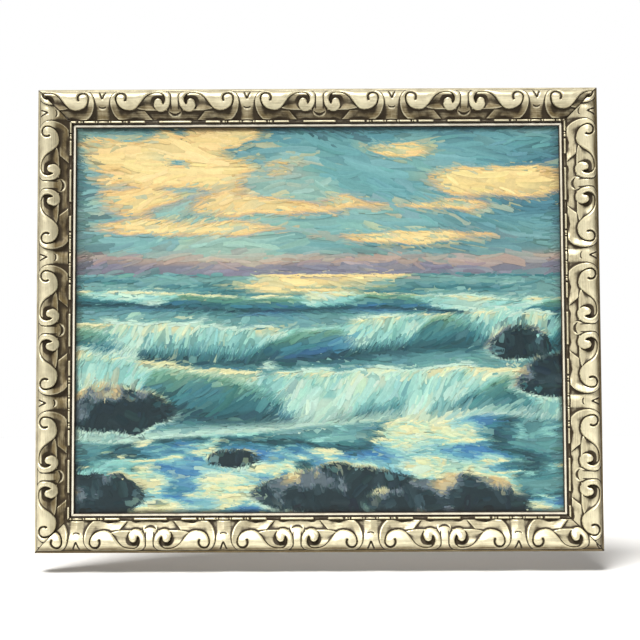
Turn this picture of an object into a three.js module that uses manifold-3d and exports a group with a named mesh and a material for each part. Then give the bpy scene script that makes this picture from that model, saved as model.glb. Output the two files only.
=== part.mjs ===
// Framed oil painting: a stretched canvas behind a plain gilt slip, in a frame of four mitred
// lengths of carved scroll moulding, with a sawtooth hanger on the back of the top rail.
//
// Millimetres. +X runs to the right, +Z up, and the picture faces -Y. The origin is the centre of
// the hanger's flat back, which is where the wall is.
import * as THREE from "three";
import { mergeVertices } from "three/addons/utils/BufferGeometryUtils.js";
import Module from "manifold-3d";

const wasm = await Module();
wasm.setup();

// ---------------------------------------------------------------- driving dimensions
const CANVAS = { width: 762, height: 609.6 }; // a 30 x 24 inch stretched canvas
const CANVAS_SHEET = 0.8; // primed and painted cloth
const CANVAS_DEPTH = 17.2; // front of the cloth to the back of its turned edges
const RABBET = { wall: 48.5, depth: 21, clearance: 1.5 }; // wall is measured from the outer edge
const JOINT_GAP = 0.3; // between pieces that touch
const STANDOFF = 3.5; // back of the rails to the wall, taken up by the hanger
const HANGER_DROP = 20; // hanger's centre below the frame's top edge

// Across the moulding, t runs from the outer edge to the sight edge and h from the back to the
// front. Each pair is [t, h].
const EDGE = 4.2; // width of the plain band outside the carving
const LIP = 54; // inner face of the rail, where the slip shows
const GROUND = [
  [4.2, 24.4],
  [5.4, 31],
  [13, 36.6],
  [23, 36.6],
  [37, 28],
  [48.6, 24.8],
];
const OUTER_BAND = [
  [0, 0],
  [0, 21],
  [3.4, 25.2],
];
const SIGHT_BEAD = [
  [49.4, 24],
  [50.2, 25.4],
  [52, 26.2],
  [LIP, 25],
];
const RAISE = 3.2; // how far the scrolls stand above the ground
const CARVED = { edge: EDGE + 0.2, sunk: 1.5, root: 20 }; // where the carving starts, and its depth

// Cutting shapes are run well past the wood, from behind it to in front of it.
const BEHIND = -10;
const INSIDE_WOOD = 22;
const BEYOND = 60;

// Along the moulding, s runs from the middle of a V cut to the middle of the plain barrel
// between two volutes, and the other half mirrors it.
const PITCH = 222;
const HOOK = { s: 29, t: 17, radius: 8.8, groove: 3, tip: 46 }; // the small curl beside the V
const BELLY = { s: 42, t: 35 }; // lowest point of the lobe
const CREST = { s: 86, t: 7.4 }; // where the lobe's edge turns into the volute
const VOLUTE = { s: 87, t: 24, quarters: [19.8, 18.6, 14.2, 9, 7.4, 6] }; // radius each quarter turn
const VOLUTE_CHANNEL = { s: 86, t: 19.6, radius: 12.2, end: 50 };
const COLLAR = { foot: [27, 48], waist: 9 };
const LEAF = { root: [46, 35], crease: [66, 36.5], toe: [77, 48.4], heel: [50, 48.4], raise: 1.4 };
const CHIP = { halfWidth: 4.2, top: 7.4, point: 17, depth: 2.4 }; // the V itself
const THUMBNAILS = [
  { s: 0, t: 29, halfWidth: 5.4, drop: 3, depth: 1.4 }, // under each V
  { s: PITCH / 2, t: 38, halfWidth: 9.4, drop: 3.6, depth: 1.4 }, // on each barrel
];

// Places of one V cut on each rail, from the rail's middle, in the direction of its own length.
const RAILS = {
  rail_top: { side: "width", turn: 0, vee: 114 },
  rail_right: { side: "height", turn: Math.PI / 2, vee: -94 },
  rail_bottom: { side: "width", turn: Math.PI, vee: -77.8 },
  rail_left: { side: "height", turn: -Math.PI / 2, vee: 94 },
};

// The slip stands in the rabbet and steps out past the lip. Its numbers are t and h as above.
const SLIP = {
  outer: 48.9, back: 18, seat: 20.7, nose: 55.2, face: 23.2, sight: 59.8, bevel: 1.2, round: 0.4,
};
const BAR = { width: 40, back: 0.8, rim: 3, fall: 2 }; // only its outer rim meets the cloth
const HANGER = { length: 58, height: 11, thickness: 1, bridge: 36, ramp: 3, teeth: 9, bite: 1.6 };
const NAIL = {
  at: 25, head: 2.3, crown: 1.61, headHeight: 0.9, shank: 0.8, length: 12, clearance: 0.3, sides: 8,
};

const FRAME = {
  width: CANVAS.width + 2 * (RABBET.clearance + RABBET.wall),
  height: CANVAS.height + 2 * (RABBET.clearance + RABBET.wall),
};

// ---------------------------------------------------------------- finishes
const finish = (color, roughness, metalness) =>
  new THREE.MeshStandardMaterial({ color, roughness, metalness });
const silverGilt = finish(0xb5a888, 0.38, 0.75);
const slipGilt = finish(0xded3b6, 0.35, 0.6);
const oilPaint = finish(0x6fa6a8, 0.45, 0);
const pine = finish(0xc9a878, 0.7, 0);
const zincSteel = finish(0x9a9a94, 0.4, 0.9);
const nailSteel = finish(0x77736c, 0.5, 0.9);

// ---------------------------------------------------------------- solids
// A three.js geometry as a solid, and back.
function solidOf(geometry) {
  const bare = geometry.clone().deleteAttribute("normal").deleteAttribute("uv");
  const merged = mergeVertices(bare, 1e-4);
  return new wasm.Manifold(
    new wasm.Mesh({
      numProp: 3,
      vertProperties: merged.attributes.position.array,
      triVerts: new Uint32Array(merged.index.array),
    }),
  );
}

function geometryOf(solid) {
  const { numProp, vertProperties, triVerts } = solid.getMesh();
  const geometry = new THREE.BufferGeometry();
  const points = new THREE.InterleavedBuffer(vertProperties, numProp);
  geometry.setAttribute("position", new THREE.InterleavedBufferAttribute(points, 3, 0));
  geometry.setIndex(new THREE.BufferAttribute(triVerts, 1));
  const facets = geometry.toNonIndexed();
  facets.computeVertexNormals();
  return facets;
}

const shapeOf = (points) => new THREE.Shape(points.map(([x, y]) => new THREE.Vector2(x, y)));
const extrude = (points, depth) =>
  new THREE.ExtrudeGeometry(shapeOf(points), { depth, bevelEnabled: false });

// A rail's own frame has its length along X, its outer edge up (z = -t) and its front at -Y
// (y = -h). A section of [t, h] points is run along the length.
function runSection(section, length) {
  const along = new THREE.Matrix4().makeBasis(
    new THREE.Vector3(0, -1, 0),
    new THREE.Vector3(0, 0, -1),
    new THREE.Vector3(1, 0, 0),
  );
  const geometry = extrude(section.map(([t, h]) => [h, t]), length);
  return geometry.translate(0, 0, -length / 2).applyMatrix4(along);
}

// A plan of [s, t] points stands from depth h0 to h1.
function standPlan(plan, h0, h1) {
  const forward = new THREE.Matrix4().makeBasis(
    new THREE.Vector3(1, 0, 0),
    new THREE.Vector3(0, 0, -1),
    new THREE.Vector3(0, 1, 0),
  );
  return extrude(plan, h1 - h0).applyMatrix4(forward).translate(0, -h1, 0);
}

// Cuts a run of section to 45 degrees at both ends. Its outer edge, at t = 0, is as long as side.
function mitre(solid, side, reach) {
  const half = side / 2 - JOINT_GAP * Math.SQRT1_2;
  const plan = [
    [-half - 1, -1],
    [half + 1, -1],
    [half - reach, reach],
    [-half + reach, reach],
  ];
  return solid.intersect(solidOf(standPlan(plan, BEHIND, BEYOND)));
}

// ---------------------------------------------------------------- the carving
const toPairs = (curve, steps) => curve.getPoints(steps).map(({ x, y }) => [x, y]);
const bezier = (a, b, c, d) =>
  new THREE.CubicBezierCurve(...[a, b, c, d].map(([x, y]) => new THREE.Vector2(x, y)));
const degrees = THREE.MathUtils.degToRad;

function arc(centre, radius, from, to, steps) {
  const clockwise = to < from;
  const curve = new THREE.EllipseCurve(
    centre.s, centre.t, radius, radius, degrees(from), degrees(to), clockwise,
  );
  return toPairs(curve, steps);
}

// The volute's outside, which winds in until it is the edge of the eye.
function voluteSpiral(steps) {
  const turns = VOLUTE.quarters.length - 1;
  const points = [];
  for (let i = 0; i <= steps; i++) {
    const quarter = (i / steps) * turns;
    const whole = Math.min(Math.floor(quarter), turns - 1);
    const radius = THREE.MathUtils.lerp(
      VOLUTE.quarters[whole], VOLUTE.quarters[whole + 1], quarter - whole,
    );
    const angle = degrees(-90 + 90 * quarter);
    points.push([VOLUTE.s + radius * Math.cos(angle), VOLUTE.t + radius * Math.sin(angle)]);
  }
  return points;
}

// One scroll: collar, back edge, volute and eye, then back along the lobe's S to the hook's curl.
function scrollPlan() {
  const inside = HOOK.radius - HOOK.groove / 2;
  const outside = HOOK.radius + HOOK.groove / 2;
  const [footS, footT] = COLLAR.foot;
  const collarBack = bezier(
    COLLAR.foot, [COLLAR.waist, 38], [COLLAR.waist - 1, 9], [footS - 1, CARVED.edge],
  );
  const rise = bezier(
    [CREST.s, CREST.t], [CREST.s - 28, CREST.t], [BELLY.s + 19, BELLY.t], [BELLY.s, BELLY.t],
  );
  const belly = bezier(
    [BELLY.s, BELLY.t], [BELLY.s - 11, BELLY.t],
    [HOOK.s - inside, HOOK.t + 11], [HOOK.s - inside, HOOK.t],
  );
  const collarFront = bezier(
    [HOOK.s - outside, HOOK.t], [HOOK.s - outside, HOOK.t + 13],
    [footS - 5, footT - 8], [footS + 2, footT - 0.5],
  );
  return [
    ...toPairs(collarBack, 5),
    ...voluteSpiral(14),
    ...arc(VOLUTE_CHANNEL, VOLUTE_CHANNEL.radius, VOLUTE_CHANNEL.end, -90, 4).slice(0, -1),
    ...toPairs(rise, 6).slice(0, -1),
    ...toPairs(belly, 3).slice(0, -1),
    ...arc(HOOK, inside, -180, HOOK.tip, 5),
    ...arc(HOOK, outside, HOOK.tip, -180, 5).slice(0, -1),
    ...toPairs(collarFront, 3),
  ];
}

const mirrorPlan = (plan) => plan.map(([s, t]) => [-s, t]).reverse();
const shiftPlan = (plan, by) => plan.map(([s, t]) => [s + by, t]);

// Where the V cuts fall along a rail of this length.
function veePlaces(length, vee) {
  const first = vee - PITCH * Math.ceil((vee + length / 2) / PITCH + 0.5);
  const places = [];
  for (let s = first; s < length / 2 + PITCH / 2; s += PITCH) places.push(s);
  return places;
}

// Height of the ground's surface at t.
function groundHeight(t) {
  const above = GROUND.findIndex(([next]) => next >= t);
  const [[t0, h0], [t1, h1]] = GROUND.slice(above - 1, above + 1);
  return THREE.MathUtils.mapLinear(t, t0, t1, h0, h1);
}

// The V and the two thumbnails that the gouge leaves, as plans with the height of their floor.
function gougeCuts() {
  const { halfWidth, top, point, depth } = CHIP;
  const vee = [
    [-halfWidth, top],
    [halfWidth, top],
    [0, point],
  ];
  const cuts = [{ plan: vee, floor: groundHeight(point) - depth }];
  for (const nail of THUMBNAILS) {
    const low = new THREE.EllipseCurve(nail.s, nail.t, nail.halfWidth, nail.drop, 0, Math.PI);
    cuts.push({ plan: toPairs(low, 3), floor: groundHeight(nail.t + nail.drop) - nail.depth });
  }
  return cuts;
}

// A plan and its mirror image at each place, standing above the ground by raise.
function relief(plan, raise, places, length) {
  const [, ...ground] = GROUND;
  const [lastT] = GROUND.at(-1);
  const top = ground.map(([t, h]) => [t, h + raise]);
  const { edge, sunk, root } = CARVED;
  const skin = [[edge, root], [edge, ground[0][1] - sunk], ...top, [lastT, root]];
  const standing = places.flatMap((place) =>
    [plan, mirrorPlan(plan)].map((each) =>
      solidOf(standPlan(shiftPlan(each, place), INSIDE_WOOD, BEYOND)),
    ),
  );
  return wasm.Manifold.union(standing).intersect(solidOf(runSection(skin, length)));
}

function carvedRail(length, vee) {
  const ground = [...OUTER_BAND, ...GROUND, ...SIGHT_BEAD];
  const rabbet = [
    [LIP, RABBET.depth],
    [RABBET.wall, RABBET.depth],
    [RABBET.wall, 0],
  ];
  const block = solidOf(runSection([...ground, ...rabbet], length));

  const places = veePlaces(length, vee);
  const scrolls = relief(scrollPlan(), RAISE, places, length);
  const leaves = relief([LEAF.root, LEAF.crease, LEAF.toe, LEAF.heel], LEAF.raise, places, length);
  const gouged = places.flatMap((place) =>
    gougeCuts().map(({ plan, floor }) => solidOf(standPlan(shiftPlan(plan, place), floor, BEYOND))),
  );
  const carved = block.add(scrolls).add(leaves).subtract(wasm.Manifold.union(gouged));
  return mitre(carved, length, LIP);
}

function slip(length) {
  const { outer, back, seat, nose, face, sight, bevel, round } = SLIP;
  const section = [
    [outer, back],
    [outer, seat],
    [nose, seat],
    [nose, face - round],
    [nose + round, face],
    [sight - bevel, face],
    [sight, face - bevel],
    [sight, back],
  ];
  return mitre(solidOf(runSection(section, length)), length, sight);
}

// The cloth is one tray: a flat sheet with its edges turned back over the bars' sides.
const clothFront = SLIP.back - JOINT_GAP;
const clothEdge = RABBET.wall + RABBET.clearance;

function canvas() {
  const { width, height } = CANVAS;
  const sheet = new THREE.BoxGeometry(width, CANVAS_DEPTH, height);
  const inside = new THREE.BoxGeometry(
    width - 2 * CANVAS_SHEET, CANVAS_DEPTH, height - 2 * CANVAS_SHEET,
  );
  const middle = -clothFront + CANVAS_DEPTH / 2;
  return solidOf(sheet.translate(0, middle, 0)).subtract(
    solidOf(inside.translate(0, middle + CANVAS_SHEET, 0)),
  );
}

function stretcherBar(length) {
  const outer = clothEdge + CANVAS_SHEET + JOINT_GAP;
  const front = clothFront - CANVAS_SHEET - JOINT_GAP;
  const inner = outer + BAR.width;
  const section = [
    [outer, BAR.back],
    [outer, front],
    [outer + BAR.rim, front],
    [inner, front - BAR.fall],
    [inner, BAR.back],
  ];
  return mitre(solidOf(runSection(section, length)), length, inner);
}

// A steel strip bent into a low bridge, with its feet on the rail and its flat back on the wall.
function hanger() {
  const { length, height, thickness, bridge, ramp, teeth, bite } = HANGER;
  const foot = -STANDOFF + JOINT_GAP;
  const bent = [
    [-length / 2, foot],
    [-bridge / 2 - ramp, foot],
    [-bridge / 2, -thickness],
    [bridge / 2, -thickness],
    [bridge / 2 + ramp, foot],
    [length / 2, foot],
    [length / 2, foot + thickness],
    [bridge / 2 + ramp, foot + thickness],
    [bridge / 2, 0],
    [-bridge / 2, 0],
    [-bridge / 2 - ramp, foot + thickness],
    [-length / 2, foot + thickness],
  ];
  const strip = solidOf(extrude(bent, height).translate(0, 0, -height / 2));
  const step = (bridge - 2 * ramp) / teeth;
  const saw = [];
  for (let tooth = 0; tooth < teeth; tooth++) {
    const left = step * (tooth - teeth / 2);
    saw.push([left, height / 2], [left + step / 2, height / 2 - bite]);
  }
  const end = (step * teeth) / 2;
  const below = [...saw, [end, height / 2], [end, height], [-end, height]];
  return strip.subtract(solidOf(standPlan(below, -STANDOFF, STANDOFF)));
}

// Everything round a nail is turned about Y. Its head sits on the back of the hanger's foot.
const NAIL_HOLE_BACK = 1; // behind the wall, so that the hole is open through the hanger's foot
const nailSeat = -STANDOFF + 2 * JOINT_GAP + HANGER.thickness;

function peg(x, backRadius, frontRadius, back, front) {
  const turned = new THREE.CylinderGeometry(backRadius, frontRadius, back - front, NAIL.sides);
  return solidOf(turned.translate(x, (back + front) / 2, 0));
}

function nail(x) {
  const tip = nailSeat - NAIL.length;
  const shank = peg(x, NAIL.shank, NAIL.shank, nailSeat + NAIL.headHeight / 2, tip);
  return peg(x, NAIL.crown, NAIL.head, nailSeat + NAIL.headHeight, nailSeat).add(shank);
}

function nailHole(x) {
  const radius = NAIL.shank + NAIL.clearance;
  return peg(x, radius, radius, NAIL_HOLE_BACK, nailSeat - NAIL.length - NAIL.clearance);
}

// ---------------------------------------------------------------- assembly
// The picture's own frame is at the hanger, and the woodwork hangs from there in a group that has
// its origin at the frame's middle, on the back of the rails.
const picture = new THREE.Group();
const woodwork = new THREE.Group();
woodwork.position.set(0, -STANDOFF, HANGER_DROP - FRAME.height / 2);
picture.add(woodwork);

function place(parent, name, solid, material) {
  const mesh = new THREE.Mesh(geometryOf(solid), material);
  mesh.name = name;
  parent.add(mesh);
  return mesh;
}

const nailHoles = wasm.Manifold.union([-NAIL.at, NAIL.at].map(nailHole));
const nailHolesInRail = nailHoles.translate([0, STANDOFF, -HANGER_DROP]);

for (const [name, { side, turn, vee }] of Object.entries(RAILS)) {
  const length = FRAME[side];
  const arm = new THREE.Group(); // turned so that its outer edge faces outwards
  arm.rotation.y = turn;
  woodwork.add(arm);
  const edge = new THREE.Group(); // its origin on the frame's outer edge
  edge.position.z = (side === "width" ? FRAME.height : FRAME.width) / 2;
  arm.add(edge);
  const carved = carvedRail(length, vee);
  const rail = name === "rail_top" ? carved.subtract(nailHolesInRail) : carved;
  place(edge, name, rail, silverGilt);
  place(edge, name.replace("rail", "slip"), slip(length), slipGilt);
  place(edge, name.replace("rail", "stretcher"), stretcherBar(length), pine);
}
place(woodwork, "canvas", canvas(), oilPaint);

place(picture, "hanger", hanger().subtract(nailHoles), zincSteel);
place(picture, "hanger_nail_left", nail(-NAIL.at), nailSteel);
place(picture, "hanger_nail_right", nail(NAIL.at), nailSteel);

export default picture;
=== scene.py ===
"""A framed oil painting: its looks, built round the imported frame.

Four carved and gilt rails, four plain gilt slips, the painted canvas on its pine stretcher, and the
hanger on the back. Sizes are in millimetres along and across the moulding, and turn into metres
only where a mesh is placed. Across the moulding, t runs from the outer edge to the sight edge and h
from the back to the front. Along it, s runs from the middle of the rail.
"""

import logging
import math
from dataclasses import dataclass, field
from enum import Enum
from typing import TypeAlias

import bmesh
import bpy
import numpy as np
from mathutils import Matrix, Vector


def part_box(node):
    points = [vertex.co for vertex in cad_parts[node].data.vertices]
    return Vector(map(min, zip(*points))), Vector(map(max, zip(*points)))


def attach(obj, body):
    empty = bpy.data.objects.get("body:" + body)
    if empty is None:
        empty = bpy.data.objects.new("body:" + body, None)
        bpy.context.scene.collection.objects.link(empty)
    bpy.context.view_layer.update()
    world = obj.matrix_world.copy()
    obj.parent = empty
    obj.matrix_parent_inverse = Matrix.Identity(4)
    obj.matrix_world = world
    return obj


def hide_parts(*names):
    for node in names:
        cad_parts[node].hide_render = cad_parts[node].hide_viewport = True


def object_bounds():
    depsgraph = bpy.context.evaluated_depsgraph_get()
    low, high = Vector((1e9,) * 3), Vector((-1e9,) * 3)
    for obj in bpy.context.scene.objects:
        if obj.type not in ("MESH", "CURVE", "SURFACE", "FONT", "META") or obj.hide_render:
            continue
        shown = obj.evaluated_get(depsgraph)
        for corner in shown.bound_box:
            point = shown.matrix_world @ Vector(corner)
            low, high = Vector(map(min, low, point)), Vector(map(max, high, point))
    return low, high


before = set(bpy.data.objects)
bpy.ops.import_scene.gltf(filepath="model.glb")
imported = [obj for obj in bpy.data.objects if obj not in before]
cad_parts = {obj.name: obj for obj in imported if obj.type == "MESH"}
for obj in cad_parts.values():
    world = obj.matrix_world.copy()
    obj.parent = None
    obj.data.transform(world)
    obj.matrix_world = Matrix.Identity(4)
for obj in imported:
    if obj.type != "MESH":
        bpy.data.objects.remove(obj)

log = logging.getLogger("framed_painting")
MM = 0.001
BODY = "root"
CAD_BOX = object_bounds()

Array: TypeAlias = np.ndarray
Colour = tuple[float, float, float]
Value: TypeAlias = "Socket | float"


# ---- shader maths
class Socket:
    """An output in a node tree, on which Python's operators add Math nodes."""

    def __init__(self, board: "Board", link: bpy.types.NodeSocket) -> None:
        """Wraps one output.

        Args:
            board: The material that the output belongs to.
            link: The output itself.
        """
        self.board = board
        self.link = link

    def other(self, name: str) -> "Socket":
        """Another output of the same node."""
        return Socket(self.board, self.link.node.outputs[name])

    def math(self, operation: str, *values: Value) -> "Socket":
        """One Math node.

        Args:
            operation: The node's operation.
            values: Its inputs, in order.

        Returns:
            The node's result.
        """
        return self.board.node("ShaderNodeMath", {"operation": operation}, dict(enumerate(values)))

    def __add__(self, other: Value) -> "Socket":
        """self + other."""
        return self.math("ADD", self, other)

    def __sub__(self, other: Value) -> "Socket":
        """self - other."""
        return self.math("SUBTRACT", self, other)

    def __mul__(self, other: Value) -> "Socket":
        """self * other."""
        return self.math("MULTIPLY", self, other)

    def __rsub__(self, other: Value) -> "Socket":
        """other - self."""
        return self.math("SUBTRACT", other, self)

    __radd__ = __add__
    __rmul__ = __mul__

    def ramp(self, low: float, high: float) -> "Socket":
        """A smooth step from 0 at low to 1 at high; low may be the larger.

        Args:
            low: The value at which the step starts.
            high: The value at which it ends.

        Returns:
            The step.
        """
        settings = {"interpolation_type": "SMOOTHSTEP"}
        inputs = {"Value": self, "From Min": low, "From Max": high}
        return self.board.node("ShaderNodeMapRange", settings, inputs)

    def limited(self) -> "Socket":
        """The value held between 0 and 1."""
        return self.board.node("ShaderNodeClamp", {}, {"Value": self})


class Board:
    """One material and the nodes that drive its shader."""

    def __init__(self, name: str) -> None:
        """Makes the material with a bare Principled shader.

        Args:
            name: The material's name.
        """
        self.material = bpy.data.materials.new(name)
        self.material.use_nodes = True
        self.tree = self.material.node_tree
        self.shader = self.tree.nodes["Principled BSDF"]

    def node(self, kind: str, settings: dict, inputs: dict, output: int = 0) -> Socket:
        """Adds any node.

        Args:
            kind: The node's type.
            settings: Its properties, and "stops" for a colour ramp: (place, colour) pairs.
            inputs: Values or sockets by the name or the index of the input.
            output: Which output to return.

        Returns:
            The output, wrapped.
        """
        made = self.tree.nodes.new(kind)
        for key, setting in settings.items():
            if key == "stops":
                self._set_stops(made.color_ramp, setting)
            else:
                setattr(made, key, setting)
        for key, given in inputs.items():
            self.feed(made.inputs[key], given)
        return Socket(self, made.outputs[output])

    def _set_stops(self, ramp: bpy.types.ColorRamp, stops: list[tuple[float, Colour]]) -> None:
        """Fills a colour ramp.

        Args:
            ramp: The ramp to fill.
            stops: Its (place, colour) pairs in order.
        """
        while len(ramp.elements) < len(stops):
            ramp.elements.new(1.0)
        for element, (place, colour) in zip(ramp.elements, stops):
            element.position = place
            element.color = (*colour, 1.0)

    def feed(self, target: bpy.types.NodeSocket, given: "Socket | float | Colour") -> None:
        """Links a socket to an input, or sets the input to a plain value."""
        if isinstance(given, Socket):
            self.tree.links.new(given.link, target)
        elif isinstance(given, tuple) and target.type == "RGBA":
            target.default_value = (*given, 1.0)
        else:
            target.default_value = given

    def set(self, **inputs: "Socket | float | Colour") -> None:
        """Feeds the shader's own inputs, given as Base_Color for Base Color and so on."""
        for name, given in inputs.items():
            self.feed(self.shader.inputs[name.replace("_", " ")], given)

    def place(self) -> Socket:
        """The place on the object, in metres."""
        return self.node("ShaderNodeTexCoord", {}, {}).other("Object")

    def attribute(self, name: str) -> Socket:
        """The number held in one of the mesh's attributes."""
        return self.node("ShaderNodeAttribute", {"attribute_name": name}, {}).other("Fac")

    def painted(self, name: str) -> Socket:
        """The colour held in one of the mesh's attributes."""
        return self.node("ShaderNodeAttribute", {"attribute_name": name}, {}).other("Color")

    def uv(self, name: str) -> Socket:
        """The mesh's own map of this name."""
        return self.node("ShaderNodeUVMap", {"uv_map": name}, {})

    def stretched(self, vector: Socket, scale: Colour) -> Socket:
        """A vector scaled on each axis."""
        settings = {"operation": "MULTIPLY"}
        return self.node("ShaderNodeVectorMath", settings, {0: vector, 1: scale})

    def noise(self, vector: Socket, scale: float, detail: float = 3.0, rough: float = 0.55) -> Socket:
        """Cloudy noise from 0 to 1.

        Args:
            vector: Where it is read.
            scale: Spots to the unit of the vector.
            detail: How many finer layers are added.
            rough: How strong the finer layers are.
        """
        inputs = {"Vector": vector, "Scale": scale, "Detail": detail, "Roughness": rough}
        return self.node("ShaderNodeTexNoise", {}, inputs)

    def mix(self, share: Value, first: "Socket | Colour", second: "Socket | Colour",
            blend: str = "MIX") -> Socket:
        """Mixes two colours.

        Args:
            share: How much of the second colour shows.
            first: The colour at 0.
            second: The colour at 1.
            blend: The way in which they are mixed.
        """
        settings = {"data_type": "RGBA", "blend_type": blend}
        return self.node("ShaderNodeMix", settings, {0: share, 6: first, 7: second}, output=2)

    def bump(self, height: Socket, depth: float, strength: float = 1.0) -> None:
        """Adds a bump to the shader over any that is there.

        Args:
            height: The relief, from 0 to 1.
            depth: What 1 stands for, in millimetres.
            strength: How much of it is used.
        """
        inputs = {"Height": height, "Distance": depth * MM, "Strength": strength}
        below = self.shader.inputs["Normal"].links
        if below:
            inputs["Normal"] = Socket(self, below[0].from_socket)
        self.feed(self.shader.inputs["Normal"], self.node("ShaderNodeBump", {}, inputs))


# ---- finishes
@dataclass(frozen=True)
class Gilding:
    """Metal leaf over gesso, toned with umber glazing wiped off the high places, and with painted shade."""

    name: str
    leaf: Colour
    shade: Colour
    glaze_and_shade: Colour
    wood: Colour = (0.40, 0.27, 0.15)
    metal: float = 0.55

    def material(self) -> bpy.types.Material:
        """Builds the finish. It reads the mesh's crest, bare, glaze and wash attributes, the last two with
        painted shade in them.

        Returns:
            The material.
        """
        board = Board(self.name)
        place = board.place()
        along = board.uv("moulding")
        deep = board.attribute("glaze_and_shade")
        wash_and_shade = board.attribute("wash_and_shade")
        crest = board.attribute("crest")
        bare = board.attribute("bare")
        streaks = board.noise(board.stretched(along, (26.0, 700.0, 1.0)), 1.0, 4.0)
        clouds = board.noise(place, 60.0, 5.0, 0.6)
        specks = board.noise(place, 1100.0, 2.0, 0.7)
        # The wash's share: umber wash, and painted shade in the coves and on the sides away from the light,
        # thinned on the crests.
        wash_film_and_shade = wash_and_shade * (0.35 + clouds * 0.75 + streaks * 0.45) + (streaks - 0.45) * 0.3 - crest * 0.7
        wash_film_and_shade = wash_film_and_shade.limited()
        toned = board.mix((clouds * 0.6 + streaks * 0.4).ramp(0.42, 0.66) * 0.34, self.leaf, self.shade)
        washed_and_shaded = board.mix(wash_film_and_shade * 0.95, toned, self.shade)
        # Dark of the glaze in the cuts, with painted shade in the crevices, quirks and hollows.
        dark = (deep * 1.35 + (clouds - 0.5) * 0.55 + (specks - 0.5) * 0.3 + wash_film_and_shade * 0.38).ramp(0.28, 0.85)
        gilt = board.mix(dark, washed_and_shaded, self.glaze_and_shade)
        grain = board.noise(board.stretched(along, (14.0, 420.0, 1.0)), 1.0, 5.0, 0.65)
        wood = board.mix(grain.ramp(0.3, 0.7), self.wood, tuple(0.62 * part for part in self.wood))
        board.set(
            Base_Color=board.mix(bare, gilt, wood),
            Metallic=(1.0 - bare) * (self.metal - dark * self.metal - wash_film_and_shade * 0.25).limited(),
            Roughness=(0.34 + dark * 0.26 + wash_film_and_shade * 0.1 + clouds * 0.1) * (1.0 - bare) + bare * 0.72,
        )
        board.bump(clouds * 0.5 + specks * 0.5, 0.07, 0.5)
        board.bump(grain * bare, 0.12, 0.6)
        return board.material


@dataclass(frozen=True)
class BarePine:
    """Planed softwood with its grain along each bar."""

    name: str
    light: Colour
    dark: Colour

    def material(self) -> bpy.types.Material:
        """Builds the finish. It reads the mesh's moulding map, which runs along each bar.

        Returns:
            The material.
        """
        board = Board(self.name)
        along = board.uv("moulding")
        wander = board.noise(board.stretched(along, (3.0, 26.0, 1.0)), 1.0, 3.0)
        rings = board.noise(board.stretched(along, (2.2, 95.0, 1.0)), 1.0, 2.0) * 0.6 + wander * 0.4
        fibres = board.noise(board.stretched(along, (60.0, 2400.0, 1.0)), 1.0, 3.0)
        tone = rings.ramp(0.38, 0.62) * 0.75 + (fibres - 0.5) * 0.35
        board.set(Base_Color=board.mix(tone.limited(), self.light, self.dark), Roughness=0.62)
        board.bump(fibres * 0.5 + rings * 0.5, 0.08, 0.6)
        return board.material


@dataclass(frozen=True)
class PlatedSteel:
    """Zinc plate on pressed steel strip."""

    name: str
    tint: Colour
    dull: Colour

    def material(self) -> bpy.types.Material:
        """Builds the finish.

        Returns:
            The material.
        """
        board = Board(self.name)
        place = board.place()
        clouds = board.noise(place, 420.0, 4.0)
        rolled = board.noise(board.stretched(place, (1500.0, 60.0, 90.0)), 1.0, 3.0)
        board.set(
            Base_Color=board.mix(clouds.ramp(0.35, 0.75), self.tint, self.dull),
            Metallic=1.0,
            Roughness=0.28 + rolled * 0.2 + clouds * 0.12,
        )
        board.bump(rolled, 0.02, 0.5)
        return board.material


# ---- curves
def bezier(ends: tuple, steps: int) -> Array:
    """Points on a cubic curve.

    Args:
        ends: Its four control points.
        steps: How many lengths it is cut into.

    Returns:
        The points, one to a row.
    """
    u = np.linspace(0, 1, steps + 1)[:, None]
    a, b, c, d = (np.array(point, float) for point in ends)
    return a * (1 - u) ** 3 + 3 * b * u * (1 - u) ** 2 + 3 * c * u**2 * (1 - u) + d * u**3


def arc(centre: tuple[float, float], radius: float, start: float, end: float, steps: int) -> Array:
    """Points on a circle's arc between two angles in degrees.

    Args:
        centre: The circle's centre.
        radius: Its radius.
        start: The angle of the first point.
        end: The angle of the last point.
        steps: How many lengths it is cut into.

    Returns:
        The points, one to a row.
    """
    angle = np.radians(np.linspace(start, end, steps + 1))
    return np.array(centre) + radius * np.stack([np.cos(angle), np.sin(angle)], axis=1)


def smooth(values: Array, low: float, high: float) -> Array:
    """A smooth step from 0 at low to 1 at high; low may be the larger."""
    share = np.clip((values - low) / (high - low), 0, 1)
    return share * share * (3 - 2 * share)


def distance_to(path: Array, q: Array, t: Array) -> tuple[Array, Array]:
    """How far points are from an open path.

    Args:
        path: The path's points, one to a row.
        q: The points' first coordinate.
        t: The points' second coordinate.

    Returns:
        The distance, and how far along the path the nearest place is, from 0 to 1.
    """
    nearest = np.full(q.shape, 1e9)
    share = np.zeros(q.shape)
    for index, (a, b) in enumerate(zip(path[:-1], path[1:])):
        edge = b - a
        along = np.clip(((q - a[0]) * edge[0] + (t - a[1]) * edge[1]) / (edge @ edge), 0, 1)
        gap = np.hypot(q - a[0] - along * edge[0], t - a[1] - along * edge[1])
        closer = gap < nearest
        nearest = np.where(closer, gap, nearest)
        share = np.where(closer, (index + along) / (len(path) - 1), share)
    return nearest, share


def depth_inside(outline: Array, q: Array, t: Array) -> Array:
    """How deep points lie inside a closed outline; outside it, the distance is negative.

    Args:
        outline: Its points, one to a row.
        q: The points' first coordinate.
        t: The points' second coordinate.

    Returns:
        The depth at each point.
    """
    closed = np.vstack([outline, outline[:1]])
    inside = np.zeros(q.shape, bool)
    for a, b in zip(closed[:-1], closed[1:]):
        if a[1] == b[1]:
            continue
        level = (a[1] > t) != (b[1] > t)
        inside ^= level & (q < (b[0] - a[0]) * (t - a[1]) / (b[1] - a[1]) + a[0])
    gap, _ = distance_to(closed, q, t)
    return np.where(inside, gap, -gap)


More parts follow.
